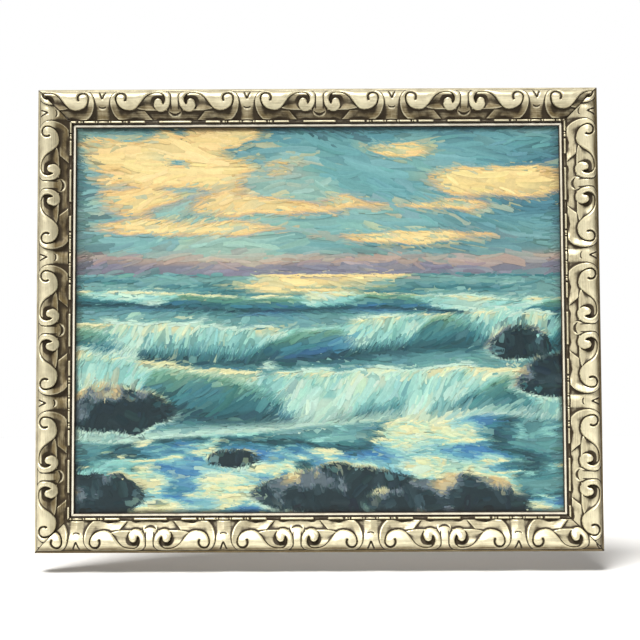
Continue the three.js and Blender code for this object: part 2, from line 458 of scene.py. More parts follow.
# ---- the carving
@dataclass(frozen=True)
class Scroll:
    """The lines of one scroll, from the middle of a V (q = 0) to the middle of a barrel."""

    pitch: float = 222.0
    edge: float = 4.2
    hook: tuple[float, float] = (28.9, 17.2)
    hook_radius: float = 7.8
    hook_tip: float = 27.0
    belly: tuple[float, float] = (42.0, 34.6)
    crest: tuple[float, float] = (85.4, 7.4)
    volute: tuple[float, float] = (86.6, 23.6)
    quarters: tuple[float, ...] = (19.4, 17.4, 13.0, 6.8, 6.0, 5.0)
    square: float = 3.2
    channel: tuple[float, float] = (85.4, 18.6)
    channel_radius: float = 11.2
    channel_end: float = 46.0
    collar_foot: tuple[float, float] = (25.0, 48.6)
    collar_waist: float = 8.2

    def spiral(self, steps: int) -> Array:
        """The volute's outside, winding in until it is the edge of the eye.

        Args:
            steps: How many lengths it is cut into.

        Returns:
            Its points, one to a row.
        """
        turns = len(self.quarters) - 1
        quarter = np.linspace(0, turns, steps + 1)
        radius = np.interp(quarter, np.arange(turns + 1), self.quarters)
        radius += self.square * np.sin(np.pi * np.clip(quarter, 0, 1)) ** 2
        angle = np.radians(-90 + 90 * quarter)
        return np.array(self.volute) + radius[:, None] * np.stack([np.cos(angle), np.sin(angle)], 1)

    def collar_back(self, steps: int) -> Array:
        """The collar's edge on the side of the V, from its foot up to the moulding's edge.

        Args:
            steps: How many lengths it is cut into.

        Returns:
            Its points, one to a row.
        """
        foot_q, _ = self.collar_foot
        ends = (self.collar_foot, (self.collar_waist, 38), (self.collar_waist, 9), (foot_q, self.edge))
        return bezier(ends, steps)

    def rise(self, steps: int) -> Array:
        """The S from the crest down to the belly."""
        (crest_q, crest_t), (belly_q, belly_t) = self.crest, self.belly
        return bezier((self.crest, (crest_q - 27, crest_t - 1), (belly_q + 19, belly_t), self.belly), steps)

    def into_hook(self, steps: int) -> Array:
        """The S from the belly up the far side of the hook.

        Args:
            steps: How many lengths it is cut into.

        Returns:
            Its points, one to a row.
        """
        (belly_q, belly_t), (hook_q, hook_t) = self.belly, self.hook
        side = hook_q - self.hook_radius
        return bezier((self.belly, (belly_q - 11, belly_t), (side, hook_t + 12), (side, hook_t)), steps)

    def round_hook(self, steps: int) -> Array:
        """The hook itself, over its top and down to its tip."""
        return arc(self.hook, self.hook_radius, -180, self.hook_tip, steps)

    def body(self) -> Array:
        """The lobe, the band over it and the volute with its eye, as one closed outline."""
        parts = [
            self.spiral(60),
            arc(self.channel, self.channel_radius, self.channel_end, -90, 16)[:-1],
            self.rise(24)[:-1],
            self.into_hook(14)[:-1],
            self.round_hook(20)[:11],
            np.array([(self.hook[0], self.edge)]),
        ]
        return np.vstack(parts)


@dataclass(frozen=True)
class Thumbnail:
    """A crescent that one push of a gouge leaves: a stop cut, and a floor that rises from it."""

    q: float
    t: float  # of the stop cut's ends
    half_width: float
    sag: float  # how far the stop cut bows
    run: float  # how far the floor takes to rise
    depth: float

    def within(self, q: Array, t: Array) -> tuple[Array, Array]:
        """Where points lie across the cut, from -1 to 1, and how far beyond its stop cut."""
        across = (q - self.q) / self.half_width
        return across, t - self.t - self.sag * (1 - across**2)

    def cut(self, q: Array, t: Array) -> Array:
        """How deep the gouge went at each point.

        Args:
            q: The points' distance from the middle of the V.
            t: Their place across the moulding.

        Returns:
            The depth at each point.
        """
        across, beyond = self.within(q, t)
        floor = np.clip(1 - beyond / (self.run * np.sqrt(np.clip(1 - across**2, 0.01, 1))), 0, 1)
        return self.depth * smooth(np.abs(across), 1, 0.8) * smooth(beyond, -0.5, 0.4) * floor

    def swept(self, q: Array, t: Array) -> Array:
        """Where the glaze and the painted shade are left off the rising floor, from 0 to 1.

        Args:
            q: The points' distance from the middle of the V.
            t: Their place across the moulding.

        Returns:
            The share of bare metal at each point.
        """
        across, beyond = self.within(q, t)
        on_floor = smooth(beyond, 0.7, 1.5) * smooth(beyond, self.run + 0.6, self.run - 1)
        return smooth(np.abs(across), 0.95, 0.7) * on_floor


@dataclass(frozen=True)
class Mound:
    """A soft rise in the carving; with a negative height, a hollow."""

    q: float
    t: float
    reach_q: float
    reach_t: float
    height: float

    def at(self, q: Array, t: Array) -> Array:
        """Its height at each point."""
        away = -(((q - self.q) / self.reach_q) ** 2) - ((t - self.t) / self.reach_t) ** 2
        return self.height * np.exp(away)


@dataclass(frozen=True)
class Carving:
    """The moulding's section and what is carved into it, as one table of heights."""

    scroll: Scroll = Scroll()
    step: float = 0.25
    width: float = 54.0
    easing: float = 1.6  # how widely the section's corners are made smooth
    raised: float = 3.2  # the scrolls over the moulding that isn't carved
    crown: float = 1.2  # how far their middles swell over that
    sunk: float = 1.0  # how far the ground between them is taken down
    trench: tuple[float, float] = (1.5, 1.2)  # the cut beside them: its depth and its reach
    tool_marks: float = 0.3  # the radius to which the finest edges are rubbed down
    section: tuple[tuple[float, float], ...] = (
        (0, 21), (3.4, 25.2), (4.0, 24.2), (5.4, 29.6), (8, 33.4), (12, 36.0), (16, 37.1), (20, 36.8),
        (26, 34.2), (32, 30.4), (38, 27.2), (43, 25.4), (48.2, 24.6), (49.0, 23.0), (50.2, 25.2),
        (51, 25.9), (52.2, 25.9), (52.9, 24.9), (54, 23.8),
    )
    dashes: tuple[tuple[float, float], ...] = (
        (9, 11), (12.4, 29), (31.6, 33.2), (34.6, 38), (41.7, 64), (86.4, 114))
    thumbnails: tuple[Thumbnail, ...] = (
        Thumbnail(q=0, t=28.2, half_width=6.0, sag=2.2, run=4.2, depth=2.2),
        Thumbnail(q=111, t=35.6, half_width=9.6, sag=3.4, run=5.0, depth=2.4))
    vee: tuple[tuple[float, float], ...] = ((4.6, 7.4), (0.3, 17.4))  # one arm's ends
    barrel_half: float = 10.5
    cove: tuple[Mound, ...] = (
        Mound(q=32, t=43, reach_q=7, reach_t=5, height=1.2),  # the collar's tail
        Mound(q=49, t=48, reach_q=6.5, reach_t=3.6, height=-2.0),
        Mound(q=89, t=48.5, reach_q=5, reach_t=3, height=-1.6))
    ridge: tuple[tuple[float, float], ...] = ((63, 34.6), (69.5, 42.5), (75.5, 49.5))
    eye_radius: float = 5.6
    fillet: tuple[float, float] = (0.9, 1.5)  # how far a dash stands up, and a gap is cut down

    def grid(self) -> tuple[Array, Array]:
        """The places along and across at which the table holds heights.

        Returns:
            Each place's q, and each place's t.
        """
        q = np.arange(0, self.scroll.pitch / 2 + self.step, self.step)
        t = np.arange(0, self.width + self.step, self.step)
        return np.meshgrid(q, t, indexing="ij")

    def ground(self, t: Array) -> Array:
        """The moulding's height where nothing is carved, its coves and rounds made smooth.

        Args:
            t: Their place across the moulding.

        Returns:
            The height at each point.
        """
        sharp = np.interp(t, *zip(*self.section))
        soft = blurred(sharp, self.easing / self.step)
        inner = smooth(t, 5.0, 8.0) * smooth(t, 48.4, 46.0)
        return sharp + (soft - sharp) * inner

    def heights(self) -> Array:
        """The height of the carved surface over the rail's back, in millimetres.

        Returns:
            The table, by steps of q and then of t.
        """
        q, t = self.grid()
        scroll = self.scroll
        ground = self.ground(t)
        inside = depth_inside(scroll.body(), q, t)
        fade = smooth(t, 49, 47.6)
        body = ground + self.raised * rounded(inside, 2.2) + self.crown * smooth(inside, 1.5, 10)

        low = ground - self.sunk + self.vee_unit(q, t) + self.barrel(q, t) + self.sail(q, t)
        free = smooth(inside, 0, -0.6)
        leaf, on_leaf = self.leaf(q, t, ground)
        low = low * (1 - on_leaf) + leaf * on_leaf
        depth, reach = self.trench
        low -= free * depth * np.exp(-((np.clip(-inside, 0, None) / reach) ** 2)) * (t > scroll.edge)
        for thumbnail in self.thumbnails:
            low -= thumbnail.cut(q, t) * free

        height = blended_max(low, self.collar(q, t, ground), 1.2)
        height = np.where(inside > 0, np.maximum(height, body), height)
        height = height - self.hook_groove(q, t) + self.eye(q, t)
        height = ground + (height - ground) * fade * smooth(t, scroll.edge - 0.4, scroll.edge + 0.8)
        return blurred(height + self.broken_fillet(q, t), self.tool_marks / self.step)

    def vee_unit(self, q: Array, t: Array) -> Array:
        """The swelling between two collars, its keel, and the V that is cut into it.

        Args:
            q: The points' distance from the middle of the V.
            t: Their place across the moulding.

        Returns:
            What is added to the height at each point.
        """
        swell = 1.5 * smooth(q, 13, 2) * smooth(t, 4.4, 10)
        keel = 2.4 * np.clip(1 - q / 11, 0, 1) ** 1.2 * smooth(t, 26, 40)
        gap, along = distance_to(np.array(self.vee), q, t)
        return swell + keel - 3.2 * np.exp(-((gap / 1.4) ** 2)) * (0.7 + 0.3 * along)

    def barrel(self, q: Array, t: Array) -> Array:
        """The tongue between two volutes.

        Args:
            q: The points' distance from the middle of the V.
            t: Their place across the moulding.

        Returns:
            What is added to the height at each point.
        """
        middle = self.scroll.pitch / 2
        round_over = np.sqrt(np.clip(1 - ((middle - q) / self.barrel_half) ** 2, 0, 1))
        return 2.2 * round_over * smooth(t, 42, 36) * smooth(t, 4.4, 9)

    def sail(self, q: Array, t: Array) -> Array:
        """The cove under the lobe: the collar's tail, a hollow, and the ridge beyond it.

        Args:
            q: The points' distance from the middle of the V.
            t: Their place across the moulding.

        Returns:
            What is added to the height at each point.
        """
        tail, hollow, far = (mound.at(q, t) for mound in self.cove)
        line_q, line_t = zip(*self.ridge)
        place = np.interp(t, line_t, line_q)
        near = np.where(q < place, np.clip(1 - (place - q) / 15, 0, 1) ** 1.5, smooth(q - place, 2.6, 0.2))
        ridge = 2.7 * near * smooth(t, 33.0, 36.5)
        return tail + hollow + ridge + far

    def leaf(self, q: Array, t: Array, ground: Array) -> tuple[Array, Array]:
        """The leaf between the lobe and the eye: a trough that deepens towards the eye.

        Args:
            q: The points' distance from the middle of the V.
            t: Their place across the moulding.
            ground: The uncarved height there.

        Returns:
            The leaf's height, and where the leaf is: 1 on it, 0 off it.
        """
        rise = self.scroll.rise(24)[::-1]
        top = np.interp(q, rise[:, 0], rise[:, 1])
        edge = np.interp(q, (50, 57, 63, 70, 86), (30.6, 33.0, 34.2, 34.8, 34.8))
        stations = (56, 66, 78, 92)
        bed = np.interp(q, stations, (29.5, 26, 22.5, 16))
        floor = np.interp(q, stations, (32.6, 31.8, 30.4, 33.0))
        rim = np.interp(q, (56, 70, 84), (32.4, 32.8, 31.6))
        up = np.clip((bed - t) / np.clip(bed - top, 1, None), 0, 1.2)
        down = np.clip((t - bed) / (edge - bed), 0, 1.2)
        above = floor + (ground - 0.4 - floor) * up**1.5
        below = floor + (rim - floor) * down**1.3
        on = smooth(q, 100, 98.5) * smooth(t, edge + 0.5, edge - 0.5) * smooth(q, 50, 52)
        return np.where(t < bed, above, below), on

    def collar(self, q: Array, t: Array, ground: Array) -> Array:
        """The collar: a crest beside the V, from which it slopes down into the hook and the cove.

        Args:
            q: The points' distance from the middle of the V.
            t: Their place across the moulding.
            ground: The uncarved height there.

        Returns:
            The collar's height, and far below the ground where there is no collar.
        """
        back = self.scroll.collar_back(24)
        gap, _ = distance_to(back, q, t)
        edge = np.interp(t, back[::-1, 1], back[::-1, 0])
        inner = q > edge
        to_edge = np.where(t < 9, np.minimum(gap, np.clip(t - self.scroll.edge, 0, None)), gap)
        crest = rounded(to_edge, 2.2 - 0.9 * smooth(t, 9, 16)) * (self.raised + 0.4 * smooth(t, 9, 16))
        slope = 0.42 * np.clip(gap - 1.2, 0, None) * smooth(t, 7, 18)
        band = ground + crest - slope - 30 * smooth(q, 42, 48)
        return np.where(inner, band, -99)

    def hook_groove(self, q: Array, t: Array) -> Array:
        """The groove that curls round the hook and thins out along the S.

        Args:
            q: The points' distance from the middle of the V.
            t: Their place across the moulding.

        Returns:
            How deep it is at each point.
        """
        scroll = self.scroll
        line = np.vstack([scroll.round_hook(24)[::-1][:-1], scroll.into_hook(14)[::-1]])
        gap, along = distance_to(line, q, t)
        half = np.interp(along, (0, 0.35, 0.65, 1), (2.3, 2.0, 1.5, 0.5))
        depth = np.interp(along, (0, 0.05, 0.6, 0.85, 1), (3.2, 3.8, 3.2, 1.2, 0.0))
        return depth * smooth(gap / half, 1.25, 0.35)

    def eye(self, q: Array, t: Array) -> Array:
        """The button in the middle of the volute.

        Args:
            q: The points' distance from the middle of the V.
            t: Their place across the moulding.

        Returns:
            What is added to the height at each point.
        """
        centre_q, centre_t = self.scroll.volute
        away = np.hypot(q - centre_q, t - centre_t - 0.6) / self.eye_radius
        return np.sqrt(np.clip(1 - away**2, 0, 1))

    def broken_fillet(self, q: Array, t: Array) -> Array:
        """Takes the fillet down where the carver's leaves and cuts run over it.

        Args:
            q: The points' distance from the middle of the V.
            t: Their place across the moulding.

        Returns:
            What is added to the height at each point.
        """
        on = smooth(t, 49.4, 50.2) * smooth(t, 53.6, 53.0)
        bump = smooth(q, 8.5, 1) * smooth(t, 47.3, 50.5)
        left = np.maximum(self.dashed(q, 0.6, 0.4), bump)
        up, down = self.fillet
        return on * (left * up - (1 - left) * down)

    def dashed(self, q: Array, outside: float, inside: float) -> Array:
        """Where the fillet's dashes are, from 0 to 1.

        Args:
            q: The points' distance from the middle of the V.
            outside: How far beyond a dash's ends it starts to show.
            inside: How far inside its ends it is whole.

        Returns:
            The share of a dash at each point.
        """
        on = np.zeros_like(q)
        for start, end in self.dashes:
            to_start = smooth(q, start - outside, start + inside)
            on = np.maximum(on, to_start * smooth(q, end + outside, end - inside))
        return on

    def glaze_and_shade(self, heights: Array, fine: Array) -> Array:
        """How much glaze and painted shade lie in each place, from 0 to 1.

        Args:
            heights: The table of heights.
            fine: How far each place lies below what is close round it.

        Returns:
            A table of the same size.
        """
        q, t = self.grid()
        # Painted shade: a soft darkening wherever a place lies below its blurred surroundings, in hollows and
        # under the rounds.
        broad = blurred(heights, 9.0) * 0.6 + blurred(heights, 18.0) * 0.4 - heights
        on_fillet = np.maximum(self.dashed(q, 0.7, 0.0), smooth(q, 8.0, 6.0))
        swell = 3.4 * np.exp(-(((q - 48) / 6) ** 2)) + 2.2 * np.exp(-(((q - 89) / 4) ** 2))
        # Painted shade in a band along the cove's foot over the fillet, in the gaps cut into the fillet, and
        # in the quirks.
        line = smooth(t, 47.9 - swell, 48.6 - swell) * smooth(t, 50.2, 49.6)
        gaps = (1 - on_fillet) * smooth(t, 49, 49.6)
        quirks = smooth(t, 51.9, 52.5) + 0.6 * smooth(np.abs(t - 4.3), 0.9, 0.3)
        away = np.hypot((q - 85.5) / 12.5, (t - 18.5) / 10.5)
        # Glaze and painted shade in the hollow round the eye; painted shadow down the step beside the volute;
        # glaze and shade in the V.
        pool = smooth(away, 1.0, 0.5) * smooth(heights, 37.0, 34.5) * smooth(t, 33, 27)
        wall = smooth(np.abs(q - 105.2), 1.6, 0.4) * smooth(t, 6, 10) * smooth(t, 36, 31)
        arm, _ = distance_to(np.array(self.vee), q, t)
        for thumbnail in self.thumbnails:
            fine = fine * (1 - thumbnail.swept(q, t))
        found = 0.55 * broad * smooth(t, 3, 7) + 1.3 * np.clip(fine, 0, None) * smooth(t, 2, 4)
        found = found + 0.95 * line + 0.7 * gaps + quirks
        return np.clip(found + 0.8 * pool + 0.6 * wall + 1.1 * smooth(arm, 1.9, 0.6), 0, 1)

    def wash_and_shade(self) -> Array:
        """How much thin umber wash and painted shade lie over each place: most in the cove, least on the
        round.

        Returns:
            A table of the same size as that of the heights.
        """
        q, t = self.grid()
        inside = depth_inside(self.scroll.body(), q, t)
        # Painted shade down the cove and towards the sight edge; umber wash on the leaf.
        cove = smooth(t, 17, 40) * smooth(inside, 2.0, -0.5)
        on_leaf = smooth(inside, 0, -1) * smooth(q, 58, 70) * smooth(q, 84, 80)
        on_leaf = on_leaf * smooth(t, 33, 26) * smooth(t, 9, 14)
        under = smooth(t, 20, 36) * 0.45
        left = np.clip(cove + 0.8 * on_leaf + under, 0, 1) * smooth(t, 49.6, 48.6)
        for thumbnail in self.thumbnails:
            left = left * (1 - thumbnail.swept(q, t))
        return left


def rounded(depth: Array, radius: "Array | float") -> Array:
    """A quarter-round shoulder: 0 at an edge, 1 from one radius inside it."""
    return np.sqrt(1 - (1 - np.clip(depth / radius, 0, 1)) ** 2)


def blended_max(first: Array, second: Array, reach: float) -> Array:
    """The larger of two surfaces, with the valley where they cross filled over this reach."""
    share = np.clip(0.5 + 0.5 * (first - second) / reach, 0, 1)
    return second + (first - second) * share + reach * share * (1 - share)


def blurred(table: Array, radius: float) -> Array:
    """A table smoothed with a bell curve, mirrored at its edges.

    Args:
        table: The values.
        radius: The bell curve's width, in steps of the table.

    Returns:
        The smoothed table.
    """
    reach = int(3 * radius)
    bell = np.exp(-0.5 * (np.arange(-reach, reach + 1) / radius) ** 2)
    bell /= bell.sum()
    for axis in (0, 1):
        padded = np.pad(table, [(reach, reach) if a == axis else (0, 0) for a in (0, 1)], "reflect")
        table = np.apply_along_axis(np.convolve, axis, padded, bell, "valid")
    return table


# ---- meshes
def finished(name: str, bm: bmesh.types.BMesh, *materials: bpy.types.Material,
             sharp: float = 50.0) -> bpy.types.Object:
    """Turns a bmesh into an object at the origin.

    Args:
        name: The object's name.
        bm: Its shape, which is freed.
        materials: Its finishes, in the order of the faces' indices.
        sharp: Edges that turn by more than this, in degrees, stay sharp.

    Returns:
        The object, riding on the picture's body.
    """
    mesh = bpy.data.meshes.new(name)
    bm.to_mesh(mesh)
    bm.free()
    mesh.shade_smooth()
    mesh.set_sharp_from_angle(angle=math.radians(sharp))
    for material in materials:
        mesh.materials.append(material)
    piece = bpy.data.objects.new(name, mesh)
    bpy.context.scene.collection.objects.link(piece)
    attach(piece, BODY)
    return piece


def put_in_order(bm: bmesh.types.BMesh) -> None:
    """Sorts a mesh by place, because extruding and thickening shuffle it anew on every run.

    Args:
        bm: The mesh, changed in place.
    """
    def place(item: bmesh.types.BMVert | bmesh.types.BMFace) -> int:
        """One number for where a vertex or a face is, to a hundredth of a millimetre."""
        spot = item.co if isinstance(item, bmesh.types.BMVert) else item.calc_center_median()
        x, y, z = (round(part / (0.01 * MM)) for part in spot)
        return (x * 10**6 + z) * 10**4 + y

    bm.verts.sort(key=place)
    bm.faces.sort(key=place)


def ease(bm: bmesh.types.BMesh, arrises: list[bmesh.types.BMEdge], width: float) -> None:
    """Takes the sharpness off edges, by a width in millimetres."""
    bmesh.ops.bevel(bm, geom=arrises, offset=width * MM, segments=2, affect="EDGES",
                    profile=0.5, material=-1, clamp_overlap=True)


class Side(Enum):
    """A side of the frame, with the turn about Y that brings its outer edge outwards."""

    TOP = 0
    RIGHT = 90
    BOTTOM = 180
    LEFT = -90

    @property
    def label(self) -> str:
        """The word that ends the names of this side's nodes."""
        return self.name.lower()

    @property
    def lies_flat(self) -> bool:
        """Whether this side runs along the picture's width."""
        return self in (Side.TOP, Side.BOTTOM)


@dataclass(frozen=True)
class Surround:
    """Where the four sides are: the frame's outer size and its middle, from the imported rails."""

    width: float
    height: float
    middle: tuple[float, float]
    back: float

    @classmethod
    def from_frame(cls) -> "Surround":
        """Reads the rails' boxes.

        Returns:
            The four sides' places, in millimetres.
        """
        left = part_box("rail_left")[0][0]
        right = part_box("rail_right")[1][0]
        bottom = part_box("rail_bottom")[0][2]
        _, (_, back, top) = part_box("rail_top")
        return cls(
            width=(right - left) / MM,
            height=(top - bottom) / MM,
            middle=((right + left) / 2 / MM, (top + bottom) / 2 / MM),
            back=back / MM,
        )

    def length(self, side: Side) -> float:
        """The outer length of a side."""
        return self.width if side.lies_flat else self.height

    def placed(self, side: Side, s: Array, t: Array, h: Array) -> Array:
        """Turns places along and across a side into the frame's own metres.

        Args:
            side: The side.
            s: Along it, from its middle.
            t: Across it, from the outer edge.
            h: Forward of its back.

        Returns:
            The points, one to a row.
        """
        reach = (self.height if side.lies_flat else self.width) / 2
        turn = math.radians(side.value)
        x, z = s, reach - t
        turned = np.stack([
            x * math.cos(turn) + z * math.sin(turn) + self.middle[0],
            self.back - h,
            z * math.cos(turn) - x * math.sin(turn) + self.middle[1],
        ], axis=-1)
        return turned * MM


@dataclass
class SheetOfRows:
    """A grid laid along one side of the frame: columns along it, rows round its section."""

    columns: int
    rows: int

    def build(self) -> tuple[bmesh.types.BMesh, Array, Array]:
        """Makes the grid.

        Returns:
            The bmesh, and each vertex's column and row.
        """
        bm = bmesh.new()
        bmesh.ops.create_grid(bm, x_segments=self.columns, y_segments=self.rows, size=0.5)
        flat = np.array([vertex.co[:2] for vertex in bm.verts]) + 0.5
        column = np.rint(flat[:, 0] * self.columns).astype(int)
        row = np.rint(flat[:, 1] * self.rows).astype(int)
        return bm, column, row


def shaped(bm: bmesh.types.BMesh, points: Array, numbers: dict[str, Array]) -> None:
    """Moves every vertex of a bmesh and gives it attributes.

    Args:
        bm: The bmesh, changed in place.
        points: Each vertex's new place.
        numbers: Each attribute's values by its name.
    """
    mesh = bpy.data.meshes.new("shaping")
    bm.to_mesh(mesh)
    mesh.vertices.foreach_set("co", points.astype(np.float32).ravel())
    for name, values in numbers.items():
        mesh.attributes.new(name, "FLOAT", "POINT").data.foreach_set("value", values.astype(np.float32))
    bm.clear()
    bm.from_mesh(mesh)
    bpy.data.meshes.remove(mesh)


def close_tube(bm: bmesh.types.BMesh) -> None:
    """Joins a rolled grid's first and last rows, caps its two ends and turns its faces outwards.

    Args:
        bm: The rolled grid, changed in place.
    """
    bmesh.ops.remove_doubles(bm, verts=bm.verts, dist=1e-6)
    rims = [edge for edge in bm.edges if edge.is_boundary]
    bmesh.ops.holes_fill(bm, edges=rims, sides=0)
    bmesh.ops.recalc_face_normals(bm, faces=bm.faces)


@dataclass
class CarvedRails:
    """The four mitred lengths of carved moulding."""

    surround: Surround
    carving: Carving = Carving()
    spacing: float = 0.9  # along the rail
    gap: float = 0.25  # at each end, of the mitre's joint
    shoulder: float = 20.6  # how high the outer side is, under the carving
    outer_ease: float = 0.6
    inner_ease: float = 0.3
    lip: float = 54.0
    lip_ease: float = 0.4
    rabbet_wall: float = 48.5
    rabbet_depth: float = 21.0
    wood_rows: int = 5  # the last rows round the section, which weren't gilt
    bands: tuple[tuple[float, float, float], ...] = (  # the carved rows: from, to, spacing
        (0.3, 3.4, 0.8), (3.5, 6.3, 0.45), (6.5, 47.4, 0.82), (47.6, 54.0, 0.42))
    # Painted shade for each side, by how it faces the light, with the wash: in the cove, and at the rim.
    wash_and_shade_by_side: dict[Side, tuple[float, float]] = field(default_factory=lambda: {  # in the cove, at the rim
        Side.TOP: (0.90, 0.35), Side.RIGHT: (0.36, 1.20), Side.BOTTOM: (0.34, 1.20), Side.LEFT: (1.00, 0.45)})
    vees: dict[Side, float] = field(default_factory=lambda: {
        Side.TOP: 114.0, Side.RIGHT: -94.0, Side.BOTTOM: -77.8, Side.LEFT: 94.0})

    def section(self) -> tuple[Array, Array, Array]:
        """The rows round the section.

        Returns:
            Each row's t, its h where it isn't carved, and whether it is carved.
        """
        wall, deep, lip = self.rabbet_wall, self.rabbet_depth, self.lip
        outer, inner = self.outer_ease, self.inner_ease
        before = [(outer, 0), (0, outer), (0, self.shoulder)]
        after = [(lip, deep + self.lip_ease), (lip - self.lip_ease, deep), (wall + inner, deep),
                 (wall, deep - inner), (wall, inner), (wall - inner, 0), (outer, 0)]
        carved = np.concatenate([*(np.arange(*band) for band in self.bands), [lip]])
        rows = [(t, h, False) for t, h in before] + [(t, 0, True) for t in carved]
        rows += [(t, h, False) for t, h in after]
        t, h, on = zip(*rows)
        return np.array(t), np.array(h), np.array(on)

    def tables(self) -> dict[str, Array]:
        """The carving's height, how it was finished and where shade is painted on it, from the V to the
        barrel.

        Returns:
            Each table by its name.
        """
        heights = self.carving.heights()
        fine = blurred(heights, 3.0) - heights
        return {
            "height": heights,
            "glaze_and_shade": self.carving.glaze_and_shade(heights, fine),
            "wash_and_shade": self.carving.wash_and_shade(),
            "crest": np.clip(-1.2 * fine, 0, 1),
        }

    def build(self, finish: bpy.types.Material) -> None:
        """Builds the four rails."""
        tables = self.tables()
        for side in Side:
            rail = self.rail(side, tables, finish)
            log.info("%s: %d faces", rail.name, len(rail.data.polygons))

    def rail(self, side: Side, tables: dict[str, Array], finish: bpy.types.Material) -> bpy.types.Object:
        """Builds one rail.

        Args:
            side: Which one.
            tables: The carving's tables.
            finish: Its gilding.

        Returns:
            The rail.
        """
        length = self.surround.length(side)
        t_rows, h_rows, carved_rows = self.section()
        bm, column, row = SheetOfRows(round(length / self.spacing), len(t_rows) - 1).build()
        t, h, carved = t_rows[row], h_rows[row], carved_rows[row]
        s = (length / 2 - t - self.gap) * (2 * column / column.max() - 1)
        q = self.folded(s - self.vees[side])
        read = {name: np.where(carved, self.sampled(table, q, t), 0) for name, table in tables.items()}
        # This side's wash and painted shade: the cove's share, and painted shade on the rim and on the outer
        # side.
        in_cove, rim_shade = self.wash_and_shade_by_side[side]
        wash_and_shade = read["wash_and_shade"] * in_cove + smooth(t, 15, 5) * rim_shade
        joint = 0.9 * smooth(length / 2 - t - np.abs(s), 1.6, 0.5)
        shaped(bm, self.surround.placed(side, s, t, np.where(carved, read["height"], h)), {
            "glaze_and_shade": np.maximum(read["glaze_and_shade"], joint),
            "wash_and_shade": np.where(carved, wash_and_shade, rim_shade * 0.7),
            "crest": read["crest"],
            "bare": ((row >= len(t_rows) - self.wood_rows) | (row == 0)).astype(float),
            "along": s * MM,
            "around": (t - np.where(carved, self.rabbet_depth, h)) * MM,
        })
        close_tube(bm)
        bare = bm.verts.layers.float["bare"]
        plain = [vertex for vertex in bm.verts if vertex[bare] > 0.5]
        flat = [edge for edge in bm.edges if edge.verts[0][bare] > 0.5 and edge.verts[1][bare] > 0.5]
        bmesh.ops.dissolve_limit(bm, angle_limit=math.radians(1), verts=plain, edges=flat)
        piece = finished(f"carved_{side.label}", bm, finish, sharp=60)
        map_moulding(piece.data)
        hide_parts(f"rail_{side.label}")
        return piece

    def folded(self, s: Array) -> Array:
        """Distance from the nearest V, which is all that the carving depends on along the rail."""
        pitch = self.carving.scroll.pitch
        return np.abs((s + pitch / 2) % pitch - pitch / 2)

    def sampled(self, table: Array, q: Array, t: Array) -> Array:
        """Reads a table of the carving between its steps.

        Args:
            table: The table.
            q: The points' distance from the middle of the V.
            t: Their place across the moulding.

        Returns:
            The table's value at each point.
        """
        step = self.carving.step
        i = np.clip(q / step, 0, table.shape[0] - 1.001)
        j = np.clip(t / step, 0, table.shape[1] - 1.001)
        i0, j0 = i.astype(int), j.astype(int)
        di, dj = i - i0, j - j0
        near = table[i0, j0] * (1 - dj) + table[i0, j0 + 1] * dj
        far = table[i0 + 1, j0] * (1 - dj) + table[i0 + 1, j0 + 1] * dj
        return near * (1 - di) + far * di


def write_colours(mesh: bpy.types.Mesh, shown: Array) -> None:
    """Stores a colour for each vertex in the mesh's paint attribute.

    Args:
        mesh: The mesh.
        shown: The colours as they look on a screen, one to a row.
    """
    linear = np.where(shown > 0.04045, ((shown + 0.055) / 1.055) ** 2.4, shown / 12.92)
    rgba = np.concatenate([linear, np.ones((len(linear), 1))], axis=1).astype(np.float32)
    mesh.color_attributes.new("paint", "FLOAT_COLOR", "POINT").data.foreach_set("color", rgba.ravel())


def add_map(mesh: bpy.types.Mesh, name: str, places: Array) -> None:
    """Makes a map.

    Args:
        mesh: The mesh.
        name: The map's name.
        places: Each vertex's place on the map, one to a row.
    """
    corners = np.empty(len(mesh.loops), np.int32)
    mesh.loops.foreach_get("vertex_index", corners)
    layer = mesh.uv_layers.new(name=name)
    layer.data.foreach_set("uv", places[corners].astype(np.float32).ravel())


def map_moulding(mesh: bpy.types.Mesh) -> None:
    """Makes the map named moulding from the mesh's along and around attributes.

    Args:
        mesh: The mesh, changed in place.
    """
    columns = []
    for name in ("along", "around"):
        values = np.empty(len(mesh.vertices), np.float32)
        mesh.attributes[name].data.foreach_get("value", values)
        columns.append(values)
    add_map(mesh, "moulding", np.stack(columns, axis=1))


# ---- plain lengths
@dataclass(frozen=True)
class Section:
    """A plain moulding's section, as its corners (t, h) and how far each edge is eased."""

    corners: tuple[tuple[float, float], ...]
    ease: float
    # Glaze and painted shade at each corner.
    glaze_and_shade: tuple[float, ...] = ()  # at each corner
    gap: float = 0.2  # at each end, of the mitre's joint

    def run(self, surround: Surround, side: Side, pieces: int) -> bmesh.types.BMesh:
        """Runs the section along a side, cut to 45 degrees at its ends.

        Args:
            surround: Where the sides are.
            side: Which one.
            pieces: How many lengths the run is cut into.

        Returns:
            The closed shape, with the map's two coordinates on its vertices.
        """
        length = surround.length(side)
        corners = np.array([*self.corners, self.corners[0]], float)
        bm, column, row = SheetOfRows(pieces, len(self.corners)).build()
        t, h = corners[row].T
        s = (length / 2 - t - self.gap) * (2 * column / pieces - 1)
        glaze_and_shade = np.array([*self.glaze_and_shade, self.glaze_and_shade[0]])[row] if self.glaze_and_shade else np.zeros(len(s))
        shaped(bm, surround.placed(side, s, t, h),
               {"along": s * MM, "around": (t - h) * MM, "glaze_and_shade": glaze_and_shade})
        close_tube(bm)
        ease(bm, [edge for edge in bm.edges if edge.calc_face_angle(0) > math.radians(20)], self.ease)
        return bm


